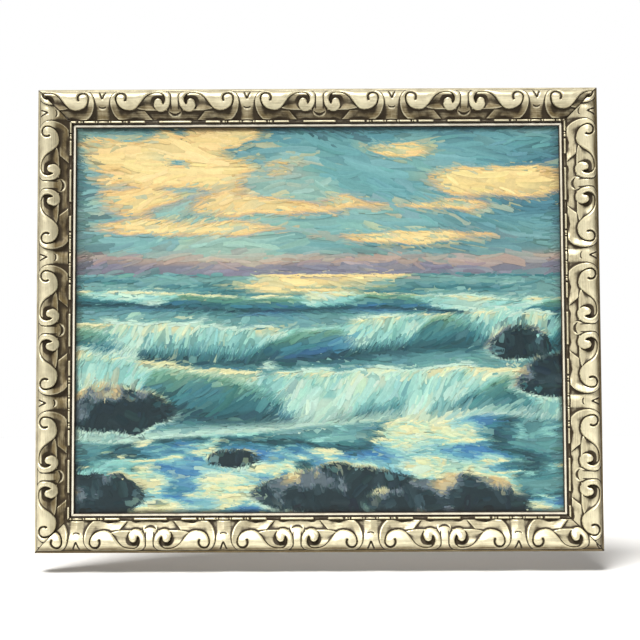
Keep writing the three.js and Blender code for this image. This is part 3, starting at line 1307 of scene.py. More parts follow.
@dataclass
class Slips:
    """The four plain gilt lengths between the carving and the painting."""

    surround: Surround
    # The slip's dark edges are painted shade in the quirk behind it and at the sight edge, with glaze.
    section: Section = Section(
        corners=((48.9, 18), (48.9, 20.7), (55.2, 20.7), (55.2, 22.8), (55.6, 23.2), (56.2, 23.2),
                 (58.6, 23.2), (59.1, 22.8), (59.8, 22.0), (59.8, 18)),
        ease=0.16, glaze_and_shade=(1, 1, 1, 1, 1, 0, 0.2, 1, 1, 1))
    pieces: int = 60
    # Wash and painted shade on each slip, darker on the sides that face away from the light.
    wash_and_shade_by_side: dict[Side, float] = field(default_factory=lambda: {
        Side.TOP: 0.05, Side.RIGHT: 0.5, Side.BOTTOM: 0.5, Side.LEFT: 0.1})

    def build(self, finish: bpy.types.Material) -> None:
        """Builds the four slips."""
        for side in Side:
            bm = self.section.run(self.surround, side, self.pieces)
            for name, number in {"wash_and_shade": self.wash_and_shade_by_side[side], "crest": 0.2, "bare": 0.0}.items():
                layer = bm.verts.layers.float.new(name)
                for vertex in bm.verts:
                    vertex[layer] = number
            piece = finished(f"gilt_slip_{side.label}", bm, finish, sharp=30)
            map_moulding(piece.data)
            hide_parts(f"slip_{side.label}")
            log.info("%s built", piece.name)


@dataclass
class Stretcher:
    """The four pine bars that hold the canvas flat."""

    surround: Surround
    outer: float = 51.1
    width: float = 40.0
    back: float = 0.8
    front: float = 16.6
    rim: float = 3.0  # the flat along the outer edge, which the cloth rests on
    fall: float = 2.0  # from there to the inner edge, so that the cloth lies free
    pieces: int = 24

    def build(self, finish: bpy.types.Material) -> list[bpy.types.Object]:
        """Builds the four bars.

        Args:
            finish: Their wood.

        Returns:
            The bars.
        """
        bars = []
        inner = self.outer + self.width
        section = Section(
            corners=((self.outer, self.back), (self.outer, self.front), (self.outer + self.rim, self.front),
                     (inner, self.front - self.fall), (inner, self.back)),
            ease=0.9)
        for side in Side:
            bm = section.run(self.surround, side, self.pieces)
            piece = finished(f"pine_bar_{side.label}", bm, finish, sharp=30)
            map_moulding(piece.data)
            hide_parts(f"stretcher_{side.label}")
            bars.append(piece)
            log.info("%s built", piece.name)
        return bars


# ---- cloth and paint
@dataclass(frozen=True)
class OilPaint:
    """Oil colour with the marks of the bristles in it, under a thin satin varnish."""

    name: str
    threads: float = 0.0  # to the metre, where the cloth shows through

    def material(self) -> bpy.types.Material:
        """Builds the finish. It reads the mesh's paint attribute and, on strokes, the bristles map.

        Returns:
            The material.
        """
        board = Board(self.name)
        place = board.place()
        bristles = board.noise(board.stretched(board.uv("bristles"), (70.0, 2600.0, 1.0)), 1.0, 3.0, 0.6)
        cloud = board.noise(place, 260.0, 3.0)
        colour = board.painted("paint")
        darker = board.mix(1.0, colour, (0.80, 0.82, 0.84), "MULTIPLY")
        streaked = board.mix((bristles * 0.75 + cloud * 0.25).ramp(0.36, 0.62), darker, colour)
        board.set(Base_Color=streaked, Roughness=0.42 + (cloud - 0.5) * 0.2)
        board.bump(bristles, 0.10, 0.7)
        if self.threads:
            board.bump(woven(place, self.threads), 0.12, 0.6)
        return board.material


@dataclass(frozen=True)
class RawCloth:
    """Unprimed cotton duck, as the back of the canvas shows it."""

    name: str
    thread: Colour
    gap: Colour
    threads: float = 950.0  # to the metre

    def material(self) -> bpy.types.Material:
        """Builds the finish.

        Returns:
            The material.
        """
        board = Board(self.name)
        place = board.place()
        weave = woven(place, self.threads)
        slubs = board.noise(board.stretched(place, (90.0, 1.0, 1500.0)), 1.0, 3.0)
        stain = board.noise(place, 7.0, 4.0)
        tone = (weave * 0.55 + slubs * 0.3 + stain * 0.35).ramp(0.25, 0.85)
        board.set(Base_Color=board.mix(tone, self.gap, self.thread), Roughness=0.88)
        board.bump(weave, 0.22, 0.9)
        return board.material


def woven(place: Socket, threads: float) -> Socket:
    """A plain weave in the picture's plane.

    Args:
        place: The place on the object.
        threads: Threads to the metre.

    Returns:
        The cloth's height, from 0 between threads to 1 where one lies over another.
    """
    x = place.board.node("ShaderNodeSeparateXYZ", {}, {"Vector": place})
    across = place.math("SINE", x * (threads * math.pi))
    down = place.math("SINE", x.other("Z") * (threads * math.pi))
    crossing = place.math("ABSOLUTE", across * down)
    return crossing * 0.7 + (across * across + down * down) * 0.15


# ---- the painting
class Clouds:
    """Cloudy noise over a plane, from 0 to 1, the same on every run."""

    def __init__(self, seed: int) -> None:
        """Draws the lattice.

        Args:
            seed: Which noise this is.
        """
        self.lattice = np.random.default_rng(seed).random((64, 64))

    def at(self, x: Array, y: Array, layers: int = 4) -> Array:
        """The noise at each point, its coarsest spots one unit apart.

        Args:
            x: The points' first coordinate.
            y: Their second coordinate.
            layers: How many times finer spots are added.

        Returns:
            The noise.
        """
        total, weight = np.zeros(x.shape), 0.0
        for layer in range(layers):
            scale, share = 2.0**layer, 0.55**layer
            total += share * self._smooth(x * scale + 7.3 * layer, y * scale + 3.1 * layer)
            weight += share
        return total / weight

    def _smooth(self, x: Array, y: Array) -> Array:
        """One layer of the noise.

        Args:
            x: The points' first coordinate.
            y: Their second coordinate.

        Returns:
            The noise.
        """
        x0, y0 = np.floor(x).astype(int), np.floor(y).astype(int)
        u, v = smooth(x - x0, 0, 1), smooth(y - y0, 0, 1)
        a, b = self.lattice[x0 % 64, y0 % 64], self.lattice[(x0 + 1) % 64, y0 % 64]
        c, d = self.lattice[x0 % 64, (y0 + 1) % 64], self.lattice[(x0 + 1) % 64, (y0 + 1) % 64]
        return (a * (1 - u) + b * u) * (1 - v) + (c * (1 - u) + d * u) * v


class Paint(Enum):
    """The colours on the palette, as they look on a screen."""

    DEEP_SKY = (0.27, 0.47, 0.53)
    SKY = (0.41, 0.63, 0.65)
    PALE_SKY = (0.58, 0.73, 0.68)
    CREAM = (0.93, 0.84, 0.59)
    OCHRE = (0.88, 0.73, 0.48)
    ROSE = (0.80, 0.62, 0.55)
    LILAC = (0.47, 0.49, 0.56)
    FAR_SEA = (0.44, 0.63, 0.62)
    TEAL = (0.20, 0.44, 0.48)
    GREEN = (0.42, 0.60, 0.47)
    BLUE = (0.24, 0.47, 0.66)
    MINT = (0.55, 0.78, 0.75)
    FOAM = (0.74, 0.86, 0.79)
    SUNLIT = (0.89, 0.87, 0.67)
    INK = (0.07, 0.17, 0.20)
    ROCK = (0.14, 0.24, 0.27)
    LIT_ROCK = (0.44, 0.53, 0.53)

    @property
    def rgb(self) -> Array:
        """The colour as numbers that can be mixed."""
        return np.array(self.value)


def over(below: Array, paint: Paint, share: Array) -> Array:
    """Lays one of the palette's colours over what is there."""
    share = np.clip(share, 0, 1)[..., None]
    return below * (1 - share) + paint.rgb * share


def coat(paint: Paint, like: Array) -> Array:
    """One of the palette's colours, once for each point."""
    return np.broadcast_to(paint.rgb, (*like.shape, 3))


@dataclass(frozen=True)
class Roller:
    """A long wave: where its crest runs, and where along it the foam breaks."""

    level: float
    tilt: float
    sway: float
    beat: float  # how often the crest sways
    face: float  # how high the wave's face is
    breaks: tuple[tuple[float, float], ...]  # the middle and half the width of each run of foam

    def crest(self, x: Array) -> Array:
        """How far down the picture the crest is."""
        return self.level + self.tilt * (x - 0.63) + self.sway * np.sin(self.beat * x + 9 * self.level)

    def breaking(self, x: Array) -> Array:
        """How much the wave breaks at x, from 0 to 1.

        Args:
            x: The points' place across the picture.

        Returns:
            The share of foam.
        """
        total = np.zeros(x.shape)
        for middle, half in self.breaks:
            total = np.maximum(total, smooth(np.abs(x - middle), half, half * 0.4))
        return total


@dataclass(frozen=True)
class Stone:
    """A dark rock that stands out of the water."""

    x: float
    y: float
    half_width: float
    half_height: float


@dataclass(frozen=True)
class Seascape:
    """A made-up evening sea. x runs from 0 to the width over the height, y from 0 at the top to 1."""

    wide: float = 1.258
    horizon: float = 0.385
    banks: tuple[tuple[float, float, float, float], ...] = (  # each one's middle and half its size
        (0.18, 0.060, 0.24, 0.060), (0.34, 0.125, 0.30, 0.055), (0.20, 0.185, 0.20, 0.034),
        (0.48, 0.205, 0.26, 0.032), (0.84, 0.060, 0.13, 0.024), (1.06, 0.140, 0.20, 0.040),
        (0.90, 0.205, 0.16, 0.020), (0.36, 0.262, 0.26, 0.020), (0.84, 0.285, 0.25, 0.014))
    rollers: tuple[Roller, ...] = (
        Roller(0.440, 0.012, 0.006, 9.0, 0.035, ((0.14, 0.14), (0.66, 0.10), (1.04, 0.20))),
        Roller(0.512, -0.030, 0.012, 6.5, 0.080, ((0.30, 0.30), (0.80, 0.13), (1.14, 0.17))),
        Roller(0.632, 0.045, 0.018, 4.6, 0.120, ((0.06, 0.15), (0.76, 0.38), (1.24, 0.12))),
    )
    stones: tuple[Stone, ...] = (
        Stone(1.16, 0.575, 0.085, 0.050), Stone(1.27, 0.660, 0.13, 0.075), Stone(0.09, 0.745, 0.15, 0.070),
        Stone(0.70, 0.955, 0.24, 0.075), Stone(0.96, 0.985, 0.20, 0.080), Stone(0.02, 0.97, 0.15, 0.085),
        Stone(0.40, 0.865, 0.075, 0.028))
    clouds: Clouds = field(default_factory=lambda: Clouds(11))

    def colour(self, x: Array, y: Array) -> Array:
        """The picture's colour at each point, as it looks on a screen, with painted shadow along its edges.

        Args:
            x: The points' place across the picture.
            y: Their place down it.

        Returns:
            The colours, one to a point.
        """
        drawn = np.where((y < self.horizon)[..., None], self.sky(x, y), self.sea(x, y))
        # Painted shadow: the picture darkens towards its four edges, as under the slip.
        from_edge = np.minimum(np.minimum(x, self.wide - x), np.minimum(y, 1 - y))
        return np.clip(self.rocks(x, y, drawn) * (1 - 0.5 * smooth(from_edge, 0.013, 0.001))[..., None], 0, 1)

    def sky(self, x: Array, y: Array) -> Array:
        """Teal sky, lit banks of cloud, and a lilac bank along the horizon.

        Args:
            x: The points' place across the picture.
            y: Their place down it.

        Returns:
            The colours, one to a point.
        """
        wide = self.clouds.at(x * 2.4, y * 5.5)
        small = self.clouds.at(x * 7 + 20, y * 16 + 5)
        deep = smooth(wide, 0.50, 0.66) * 0.9 + smooth(y, 0.10, 0) * 0.3
        tone = over(coat(Paint.SKY, x), Paint.DEEP_SKY, deep)
        tone = over(tone, Paint.PALE_SKY, smooth(wide, 0.46, 0.34) * 0.8 + smooth(y, 0.2, 0.3) * 0.35)
        lit = np.full(x.shape, -1.0)
        for cx, cy, rx, ry in self.banks:
            lit = np.maximum(lit, 1 - np.hypot((x - cx) / rx, (y - cy) / ry))
        lit = lit * 1.2 + (small - 0.5) * 2.5 + (wide - 0.5) * 2.2 - 0.12
        tone = over(tone, Paint.ROSE, smooth(lit, -0.28, -0.05) * 0.55 * smooth(y, 0.04, 0.2))
        tone = over(tone, Paint.OCHRE, smooth(lit, -0.1, 0.08))
        tone = over(tone, Paint.CREAM, smooth(lit, 0.04, 0.3))
        bank = self.horizon - 0.016 - 0.040 * self.clouds.at(x * 3 + 3, x * 0 + 2) - y
        tone = over(tone, Paint.ROSE, smooth(bank, 0.035, 0.0) * 0.75)
        return over(tone, Paint.LILAC, smooth(bank, 0.004, -0.012) * 0.9)

    def sea(self, x: Array, y: Array) -> Array:
        """The far water with its glint, three rollers, and foam in the foreground.

        Args:
            x: The points' place across the picture.
            y: Their place down it.

        Returns:
            The colours, one to a point.
        """
        deep = y - self.horizon
        streak = self.clouds.at(x * 4 + 40, y * 60 / (1 + 6 * deep))
        fine = self.clouds.at(x * 16, y * 34)
        tone = over(coat(Paint.FAR_SEA, x), Paint.TEAL, smooth(streak, 0.42, 0.62) * 0.8)
        glint = smooth(np.abs(x - 0.62), 0.40, 0.06) * smooth(deep, 0.07, 0.0)
        tone = over(tone, Paint.CREAM, smooth(glint * 0.75 + streak * 0.9, 0.72, 0.98))
        for roller in self.rollers:
            tone = self.break_roller(roller, x, y, tone, fine)
        shore = self.shore(x)
        return self.lacework(x, y, tone, smooth(y, shore - 0.015, shore + 0.03))

    def shore(self, x: Array) -> Array:
        """Where the foreground's foam begins."""
        return 0.765 + 0.03 * np.sin(3.1 * x + 1) + 0.05 * (self.clouds.at(x * 3, x * 0 + 9) - 0.5)

    def break_roller(self, roller: Roller, x: Array, y: Array, tone: Array,
                     fine: Array) -> Array:
        """Draws one wave over what is behind it.

        Args:
            roller: The wave.
            x: The points' place across the picture.
            y: Their place down it.
            tone: The colours behind it.
            fine: Fine noise that breaks up its foam.

        Returns:
            The colours with the wave over them.
        """
        ragged = 0.020 * (fine - 0.5) * (0.4 + roller.face * 8)
        below = (y - roller.crest(x) + ragged) / roller.face
        breaking = roller.breaking(x)
        face = smooth(below, -0.02, 0.03)
        curl = self.clouds.at(x * 9 + below * 1.2, below * 1.4 + roller.level * 90)
        tone = over(tone, Paint.TEAL, face)
        tone = over(tone, Paint.GREEN, face * smooth(below, 0.75, 0.05) * 0.85)
        tone = over(tone, Paint.BLUE, face * smooth(curl, 0.5, 0.72) * smooth(below, 0.1, 0.8) * 0.8)
        tone = over(tone, Paint.INK, face * smooth(below, 0.75, 1.0) * smooth(below, 1.35, 1.05) * 0.55)
        tone = over(tone, Paint.FAR_SEA, face * smooth(below, 1.0, 1.6) * 0.8)
        spill = below - breaking * (0.75 + 0.9 * (curl - 0.5)) - 0.10
        foam = face * smooth(spill, 0.12, -0.08) * smooth(breaking + curl * 0.8, 0.25, 0.55)
        tone = over(tone, Paint.MINT, foam)
        tone = over(tone, Paint.FOAM, foam * smooth(curl + fine, 0.9, 1.08))
        tone = over(tone, Paint.SUNLIT, foam * smooth(below, 0.30, 0.04) * smooth(fine, 0.42, 0.58))
        spray = breaking * smooth(below, -0.30, -0.02) * (1 - face)
        tone = over(tone, Paint.FOAM, smooth(spray + (fine - 0.5) * 1.3, 0.35, 0.6))
        lip = np.abs(below) < 0.05
        return over(tone, Paint.SUNLIT, lip * smooth(fine, 0.40, 0.50) * 0.9)

    def lacework(self, x: Array, y: Array, tone: Array, near: Array) -> Array:
        """Foam that lies in a net on the water in front.

        Args:
            x: The points' place across the picture.
            y: Their place down it.
            tone: The colours behind it.
            near: Where the foreground is, from 0 to 1.

        Returns:
            The colours with the foreground over them.
        """
        bend_x = x + 0.05 * self.clouds.at(x * 5 + 8, y * 8)
        bend_y = y + 0.03 * self.clouds.at(x * 6, y * 9 + 30)
        net = np.abs(self.clouds.at(bend_x * 9, bend_y * 21, 2) - 0.5)
        broad = self.clouds.at(x * 3.2 + 50, y * 9 + 4)
        water = over(coat(Paint.TEAL, x), Paint.BLUE, smooth(broad, 0.46, 0.60))
        water = over(water, Paint.FAR_SEA, smooth(broad, 0.44, 0.34) * 0.6)
        water = over(water, Paint.INK, smooth(np.abs(broad - 0.45), 0.05, 0.01) * 0.55)
        grainy = self.clouds.at(x * 11 + 33, y * 26)
        water = over(water, Paint.MINT, smooth(broad + 0.5 * (grainy - 0.5), 0.51, 0.59) * 0.75)
        water = over(water, Paint.FOAM, smooth(broad + 0.9 * (grainy - 0.5), 0.60, 0.66) * 0.9)
        water = over(water, Paint.SUNLIT, smooth(grainy + 0.6 * (broad - 0.5), 0.60, 0.66) * 0.9)
        water = over(water, Paint.MINT, smooth(net, 0.060, 0.025) * smooth(grainy, 0.36, 0.5))
        lit = smooth(net, 0.030, 0.008) * smooth(broad, 0.42, 0.52) * smooth(grainy, 0.4, 0.5)
        water = over(water, Paint.SUNLIT, lit)
        swash = np.abs(y - self.shore(x) - 0.012)
        water = over(water, Paint.FOAM, smooth(swash, 0.020, 0.008))
        share = near[..., None]
        return tone * (1 - share) + water * share

    def rocks(self, x: Array, y: Array, drawn: Array) -> Array:
        """Dark stones in broken planes, lit on the left of their tops, with foam at their feet.

        Args:
            x: The points' place across the picture.
            y: Their place down it.
            drawn: The colours behind them.

        Returns:
            The colours with the stones over them.
        """
        rough = self.clouds.at(x * 12 + 5, y * 15, 3)
        broken = self.clouds.at((x + 0.7 * y) * 15 + 70, (y - 0.6 * x) * 19, 2)
        for stone in self.stones:
            across, up = (x - stone.x) / stone.half_width, (y - stone.y) / stone.half_height
            squat = np.abs(np.where(up < 0, up, up * 1.5))
            body = 1 - np.abs(across) ** 2.4 - squat**1.7 + (rough - 0.5) * 1.3
            ring = smooth(body, -0.34, -0.14) * smooth(up, -0.3, 0.4)
            drawn = over(drawn, Paint.FOAM, ring * smooth(rough, 0.35, 0.5))
            drawn = over(drawn, Paint.ROCK, smooth(body, -0.02, 0.06))
            plane = np.floor(9 * (broken - 0.22 * up - 0.12 * across)) / 9
            inner = smooth(body, 0.0, 0.08)
            drawn = over(drawn, Paint.INK, inner * smooth(plane, 0.56, 0.40))
            drawn = over(drawn, Paint.LILAC, inner * smooth(plane, 0.54, 0.68) * 0.6)
            drawn = over(drawn, Paint.LIT_ROCK, inner * smooth(plane, 0.62, 0.74))
            drawn = over(drawn, Paint.OCHRE, inner * smooth(plane, 0.70, 0.84) * 0.75)
            rim = smooth(np.abs(body - 0.06), 0.10, 0.04) * smooth(up, -0.25, -0.5)
            drawn = over(drawn, Paint.SUNLIT, rim * smooth(rough, 0.38, 0.52) * 0.8)
        return drawn

    def flow(self, x: Array, y: Array) -> Array:
        """The way the brush was drawn at each point, as an angle in the picture's plane.

        Args:
            x: The points' place across the picture.
            y: Their place down it.

        Returns:
            The angle, in radians.
        """
        turn = (self.clouds.at(x * 3 + 60, y * 4) - 0.5) * np.where(y < self.horizon, 1.3, 0.7)
        for roller in self.rollers[1:]:
            below = (y - roller.crest(x)) / roller.face
            on_face = smooth(below, -0.1, 0.1) * smooth(below, 1.2, 0.8)
            turn = turn - on_face * (0.5 + 0.7 * roller.breaking(x))
        facets = np.floor(self.clouds.at(x * 8 + 70, y * 8, 2) * 5) * 1.3
        stony = self.stony(x, y)
        return turn * (1 - stony) + stony * (facets - 2.6)

    def stony(self, x: Array, y: Array) -> Array:
        """How far each point lies on a stone, from 0 to 1.

        Args:
            x: The points' place across the picture.
            y: Their place down it.

        Returns:
            The share of stone.
        """
        stony = np.zeros(x.shape)
        for stone in self.stones:
            away = np.hypot((x - stone.x) / stone.half_width, (y - stone.y) / stone.half_height)
            stony = np.maximum(stony, smooth(away, 1.15, 0.9))
        return stony

    def reach(self, x: Array, y: Array) -> Array:
        """How long the strokes are at each point, against their usual length."""
        calm = smooth(y, self.horizon + 0.02, self.horizon - 0.04)
        return (1 + 0.35 * calm) * (1 - 0.62 * self.stony(x, y))


@dataclass(frozen=True)
class Brush:
    """One brush, and how often it was set down."""

    name: str
    strokes: int
    length: float
    width: float
    along: int  # the grid's steps along each stroke
    across: int
    seed: int
    lift: float = 0.10  # how thick the paint's ridge is
    unsteady: float = 0.16  # how far the strokes' directions differ, in radians
    bow: float = 0.10  # how far they bend, against their length
    picky: float = 0.0  # how far the brush keeps to where the picture changes


@dataclass(frozen=True)
class Strokes:
    """Where and how one brush was set down, with a number for each stroke in every field."""

    x: Array  # of the middle, from the picture's left
    y: Array  # of the middle, from its top
    angle: Array
    long: Array
    wide: Array
    bend: Array


@dataclass(frozen=True)
class Ribbons:
    """A grid cut into one ribbon for each stroke, with a number for each vertex in every field."""

    stroke: Array  # which stroke it belongs to
    a: Array  # its place along the stroke, from -1 to 1
    b: Array  # its place across it, from -1 to 1


@dataclass
class PaintLayer:
    """The strokes of one brush as one mesh of separate ribbons."""

    brush: Brush
    scene: Seascape
    left: float
    top: float
    width: float
    height: float
    front: float
    low: float  # the heights over the cloth between which the strokes are stacked
    high: float
    probe: float = 0.006  # how far off the picture is looked at to find where it changes
    bristles_apart: float = 900.0  # how far apart the strokes lie on the map of the bristles
    cell_half: float = 0.42  # half of a stroke's share of its cell on the other map

    def starts(self, rng: np.random.Generator) -> tuple[Array, Array]:
        """Picks where the strokes go: evenly, or where the picture changes most.

        Args:
            rng: Where the random numbers come from.

        Returns:
            Each stroke's x and y, from the picture's top left corner.
        """
        count = int(self.brush.strokes * (1 + 2 * self.brush.picky))
        columns = round(math.sqrt(count * self.width / self.height))
        rows = math.ceil(count / columns)
        x = (np.arange(columns * rows) % columns + rng.random(columns * rows)) / columns * self.width
        y = (np.arange(columns * rows) // columns + rng.random(columns * rows)) / rows * self.height
        u, v, reach = x / self.height, y / self.height, self.probe
        near = self.scene.colour(u, v)
        change = sum(
            np.abs(self.scene.colour(u + du, v + dv) - near).sum(-1)
            for du, dv in ((reach, 0), (0, reach), (-reach, 0), (0, -reach)))
        order = np.argsort(-(change * self.brush.picky + 0.5 * rng.random(len(x))))
        kept = rng.permutation(order[: self.brush.strokes])
        return x[kept], y[kept]

    def set_down(self, rng: np.random.Generator) -> Strokes:
        """Chooses each stroke's place, direction and size.

        Args:
            rng: Where the random numbers come from.

        Returns:
            The strokes.
        """
        brush = self.brush
        x, y = self.starts(rng)
        u, v, count = x / self.height, y / self.height, len(x)
        return Strokes(
            x=x,
            y=y,
            angle=self.scene.flow(u, v) + rng.normal(0, brush.unsteady, count),
            long=brush.length * rng.uniform(0.6, 1.25, count) * self.scene.reach(u, v),
            wide=brush.width * rng.uniform(0.7, 1.2, count),
            bend=rng.normal(0, brush.bow, count),
        )

    def cut_ribbons(self, count: int) -> tuple[bmesh.types.BMesh, Ribbons]:
        """Makes one long grid and takes out the faces between one stroke and the next.

        Args:
            count: How many strokes there are.

        Returns:
            The grid, and what each of its vertices belongs to.
        """
        steps, rows = self.brush.along + 1, self.brush.across
        bm, column, row = SheetOfRows(count * steps - 1, rows).build()
        stroke, step = column // steps, column % steps
        bm.faces.ensure_lookup_table()
        bm.verts.index_update()
        links = [face for face in bm.faces if len({stroke[vertex.index] for vertex in face.verts}) > 1]
        bmesh.ops.delete(bm, geom=links, context="FACES_ONLY")
        return bm, Ribbons(stroke, a=step / self.brush.along * 2 - 1, b=row / rows * 2 - 1)

    def places(self, rng: np.random.Generator, strokes: Strokes, ribbons: Ribbons) -> Array:
        """Where each vertex lies: along its bent stroke, and raised where the bristles left paint.

        Args:
            rng: Where the random numbers come from.
            strokes: The strokes.
            ribbons: What each vertex belongs to.

        Returns:
            The points, one to a row, in metres.
        """
        which, a, b = ribbons.stroke, ribbons.a, ribbons.b
        long, angle = strokes.long[which], strokes.angle[which]
        end = 0.62 + 0.38 * np.sqrt(np.clip(1 - np.abs(a) ** 3, 0, 1)) + rng.normal(0, 0.05, len(a))
        p = (a / 2 + rng.normal(0, 0.012, len(a)) * (np.abs(a) > 0.99)) * long
        r = b / 2 * strokes.wide[which] * end + strokes.bend[which] * (a * a - 0.4) * long / 2
        px = strokes.x[which] + p * np.cos(angle) - r * np.sin(angle)
        py = strokes.y[which] + p * np.sin(angle) + r * np.cos(angle)
        px, py = np.clip(px, 0, self.width), np.clip(py, 0, self.height)
        stack = self.low + (self.high - self.low) * which / len(strokes.x)
        loaded = np.where(np.abs(b) > 0.99, -1.0, rng.uniform(0.2, 1.0, len(b)))
        ridge = self.brush.lift * (loaded + 0.4 * (a > 0.7))
        out = np.clip(self.front + stack + ridge, self.front + 0.02, None)
        return np.stack([self.left + px, -out, self.top - py], axis=-1) * MM

    def build(self, finish: bpy.types.Material) -> bpy.types.Object:
        """Lays the strokes.

        Args:
            finish: The paint.

        Returns:
            The layer.
        """
        rng = np.random.default_rng(self.brush.seed)
        strokes = self.set_down(rng)
        bm, ribbons = self.cut_ribbons(len(strokes.x))
        shaped(bm, self.places(rng, strokes, ribbons), {})
        shown = self.tint(rng, strokes, ribbons)
        piece = finished(f"paint_{self.brush.name}", bm, finish, sharp=80)
        write_colours(piece.data, shown)
        self.write_maps(piece.data, strokes, ribbons, rng.random(len(strokes.x)))
        log.info("%s: %d strokes, %d faces", piece.name, len(strokes.x), len(piece.data.polygons))
        return piece

    def tint(self, rng: np.random.Generator, strokes: Strokes, ribbons: Ribbons) -> Array:
        """The colour of every vertex: that of its stroke's load of paint, a little streaked.

        Args:
            rng: Where the random numbers come from.
            strokes: The strokes.
            ribbons: What each vertex belongs to.

        Returns:
            The colours as they look on a screen, one to a row.
        """
        x, y, which, count = strokes.x, strokes.y, ribbons.stroke, len(strokes.x)
        tones = []
        for end in (-0.3, 0.3):
            ex = x + end * strokes.long * np.cos(strokes.angle)
            ey = y + end * strokes.long * np.sin(strokes.angle)
            tones.append(self.scene.colour(ex / self.height, ey / self.height))
        load = tones[0] * 0.65 + self.scene.colour(x / self.height, y / self.height) * 0.35
        last = load * 0.5 + tones[1] * 0.5
        share = (ribbons.a[:, None] + 1) / 2
        shade = rng.normal(0, 0.015, (count, 1)) + rng.normal(0, 0.007, (count, 3))
        streak = rng.normal(0, 0.018, (count, self.brush.across + 1))
        rows = np.rint((ribbons.b + 1) / 2 * self.brush.across).astype(int)
        shown = load[which] * (1 - share) + last[which] * share + shade[which]
        return np.clip(shown + streak[which, rows][:, None], 0.02, 0.98)

    def write_maps(self, mesh: bpy.types.Mesh, strokes: Strokes, ribbons: Ribbons,
                   where: Array) -> None:
        """Gives each stroke a place of its own on a map, and a second map measured in metres.

        Args:
            mesh: The layer's mesh, changed in place.
            strokes: The strokes.
            ribbons: What each vertex belongs to.
            where: A random share for each stroke, which moves its bristles' marks.
        """
        which, a, b = ribbons.stroke, ribbons.a, ribbons.b
        side = math.ceil(math.sqrt(len(where)))
        cell = np.stack([which % side + 0.5 + a * self.cell_half,
                         which // side + 0.5 + b * self.cell_half], axis=1) / side
        grain = np.stack([a * strokes.long[which] / 2 + where[which] * self.bristles_apart,
                          b * strokes.wide[which] / 2], axis=1) * MM
        add_map(mesh, "OFBake", cell)
        add_map(mesh, "bristles", grain)


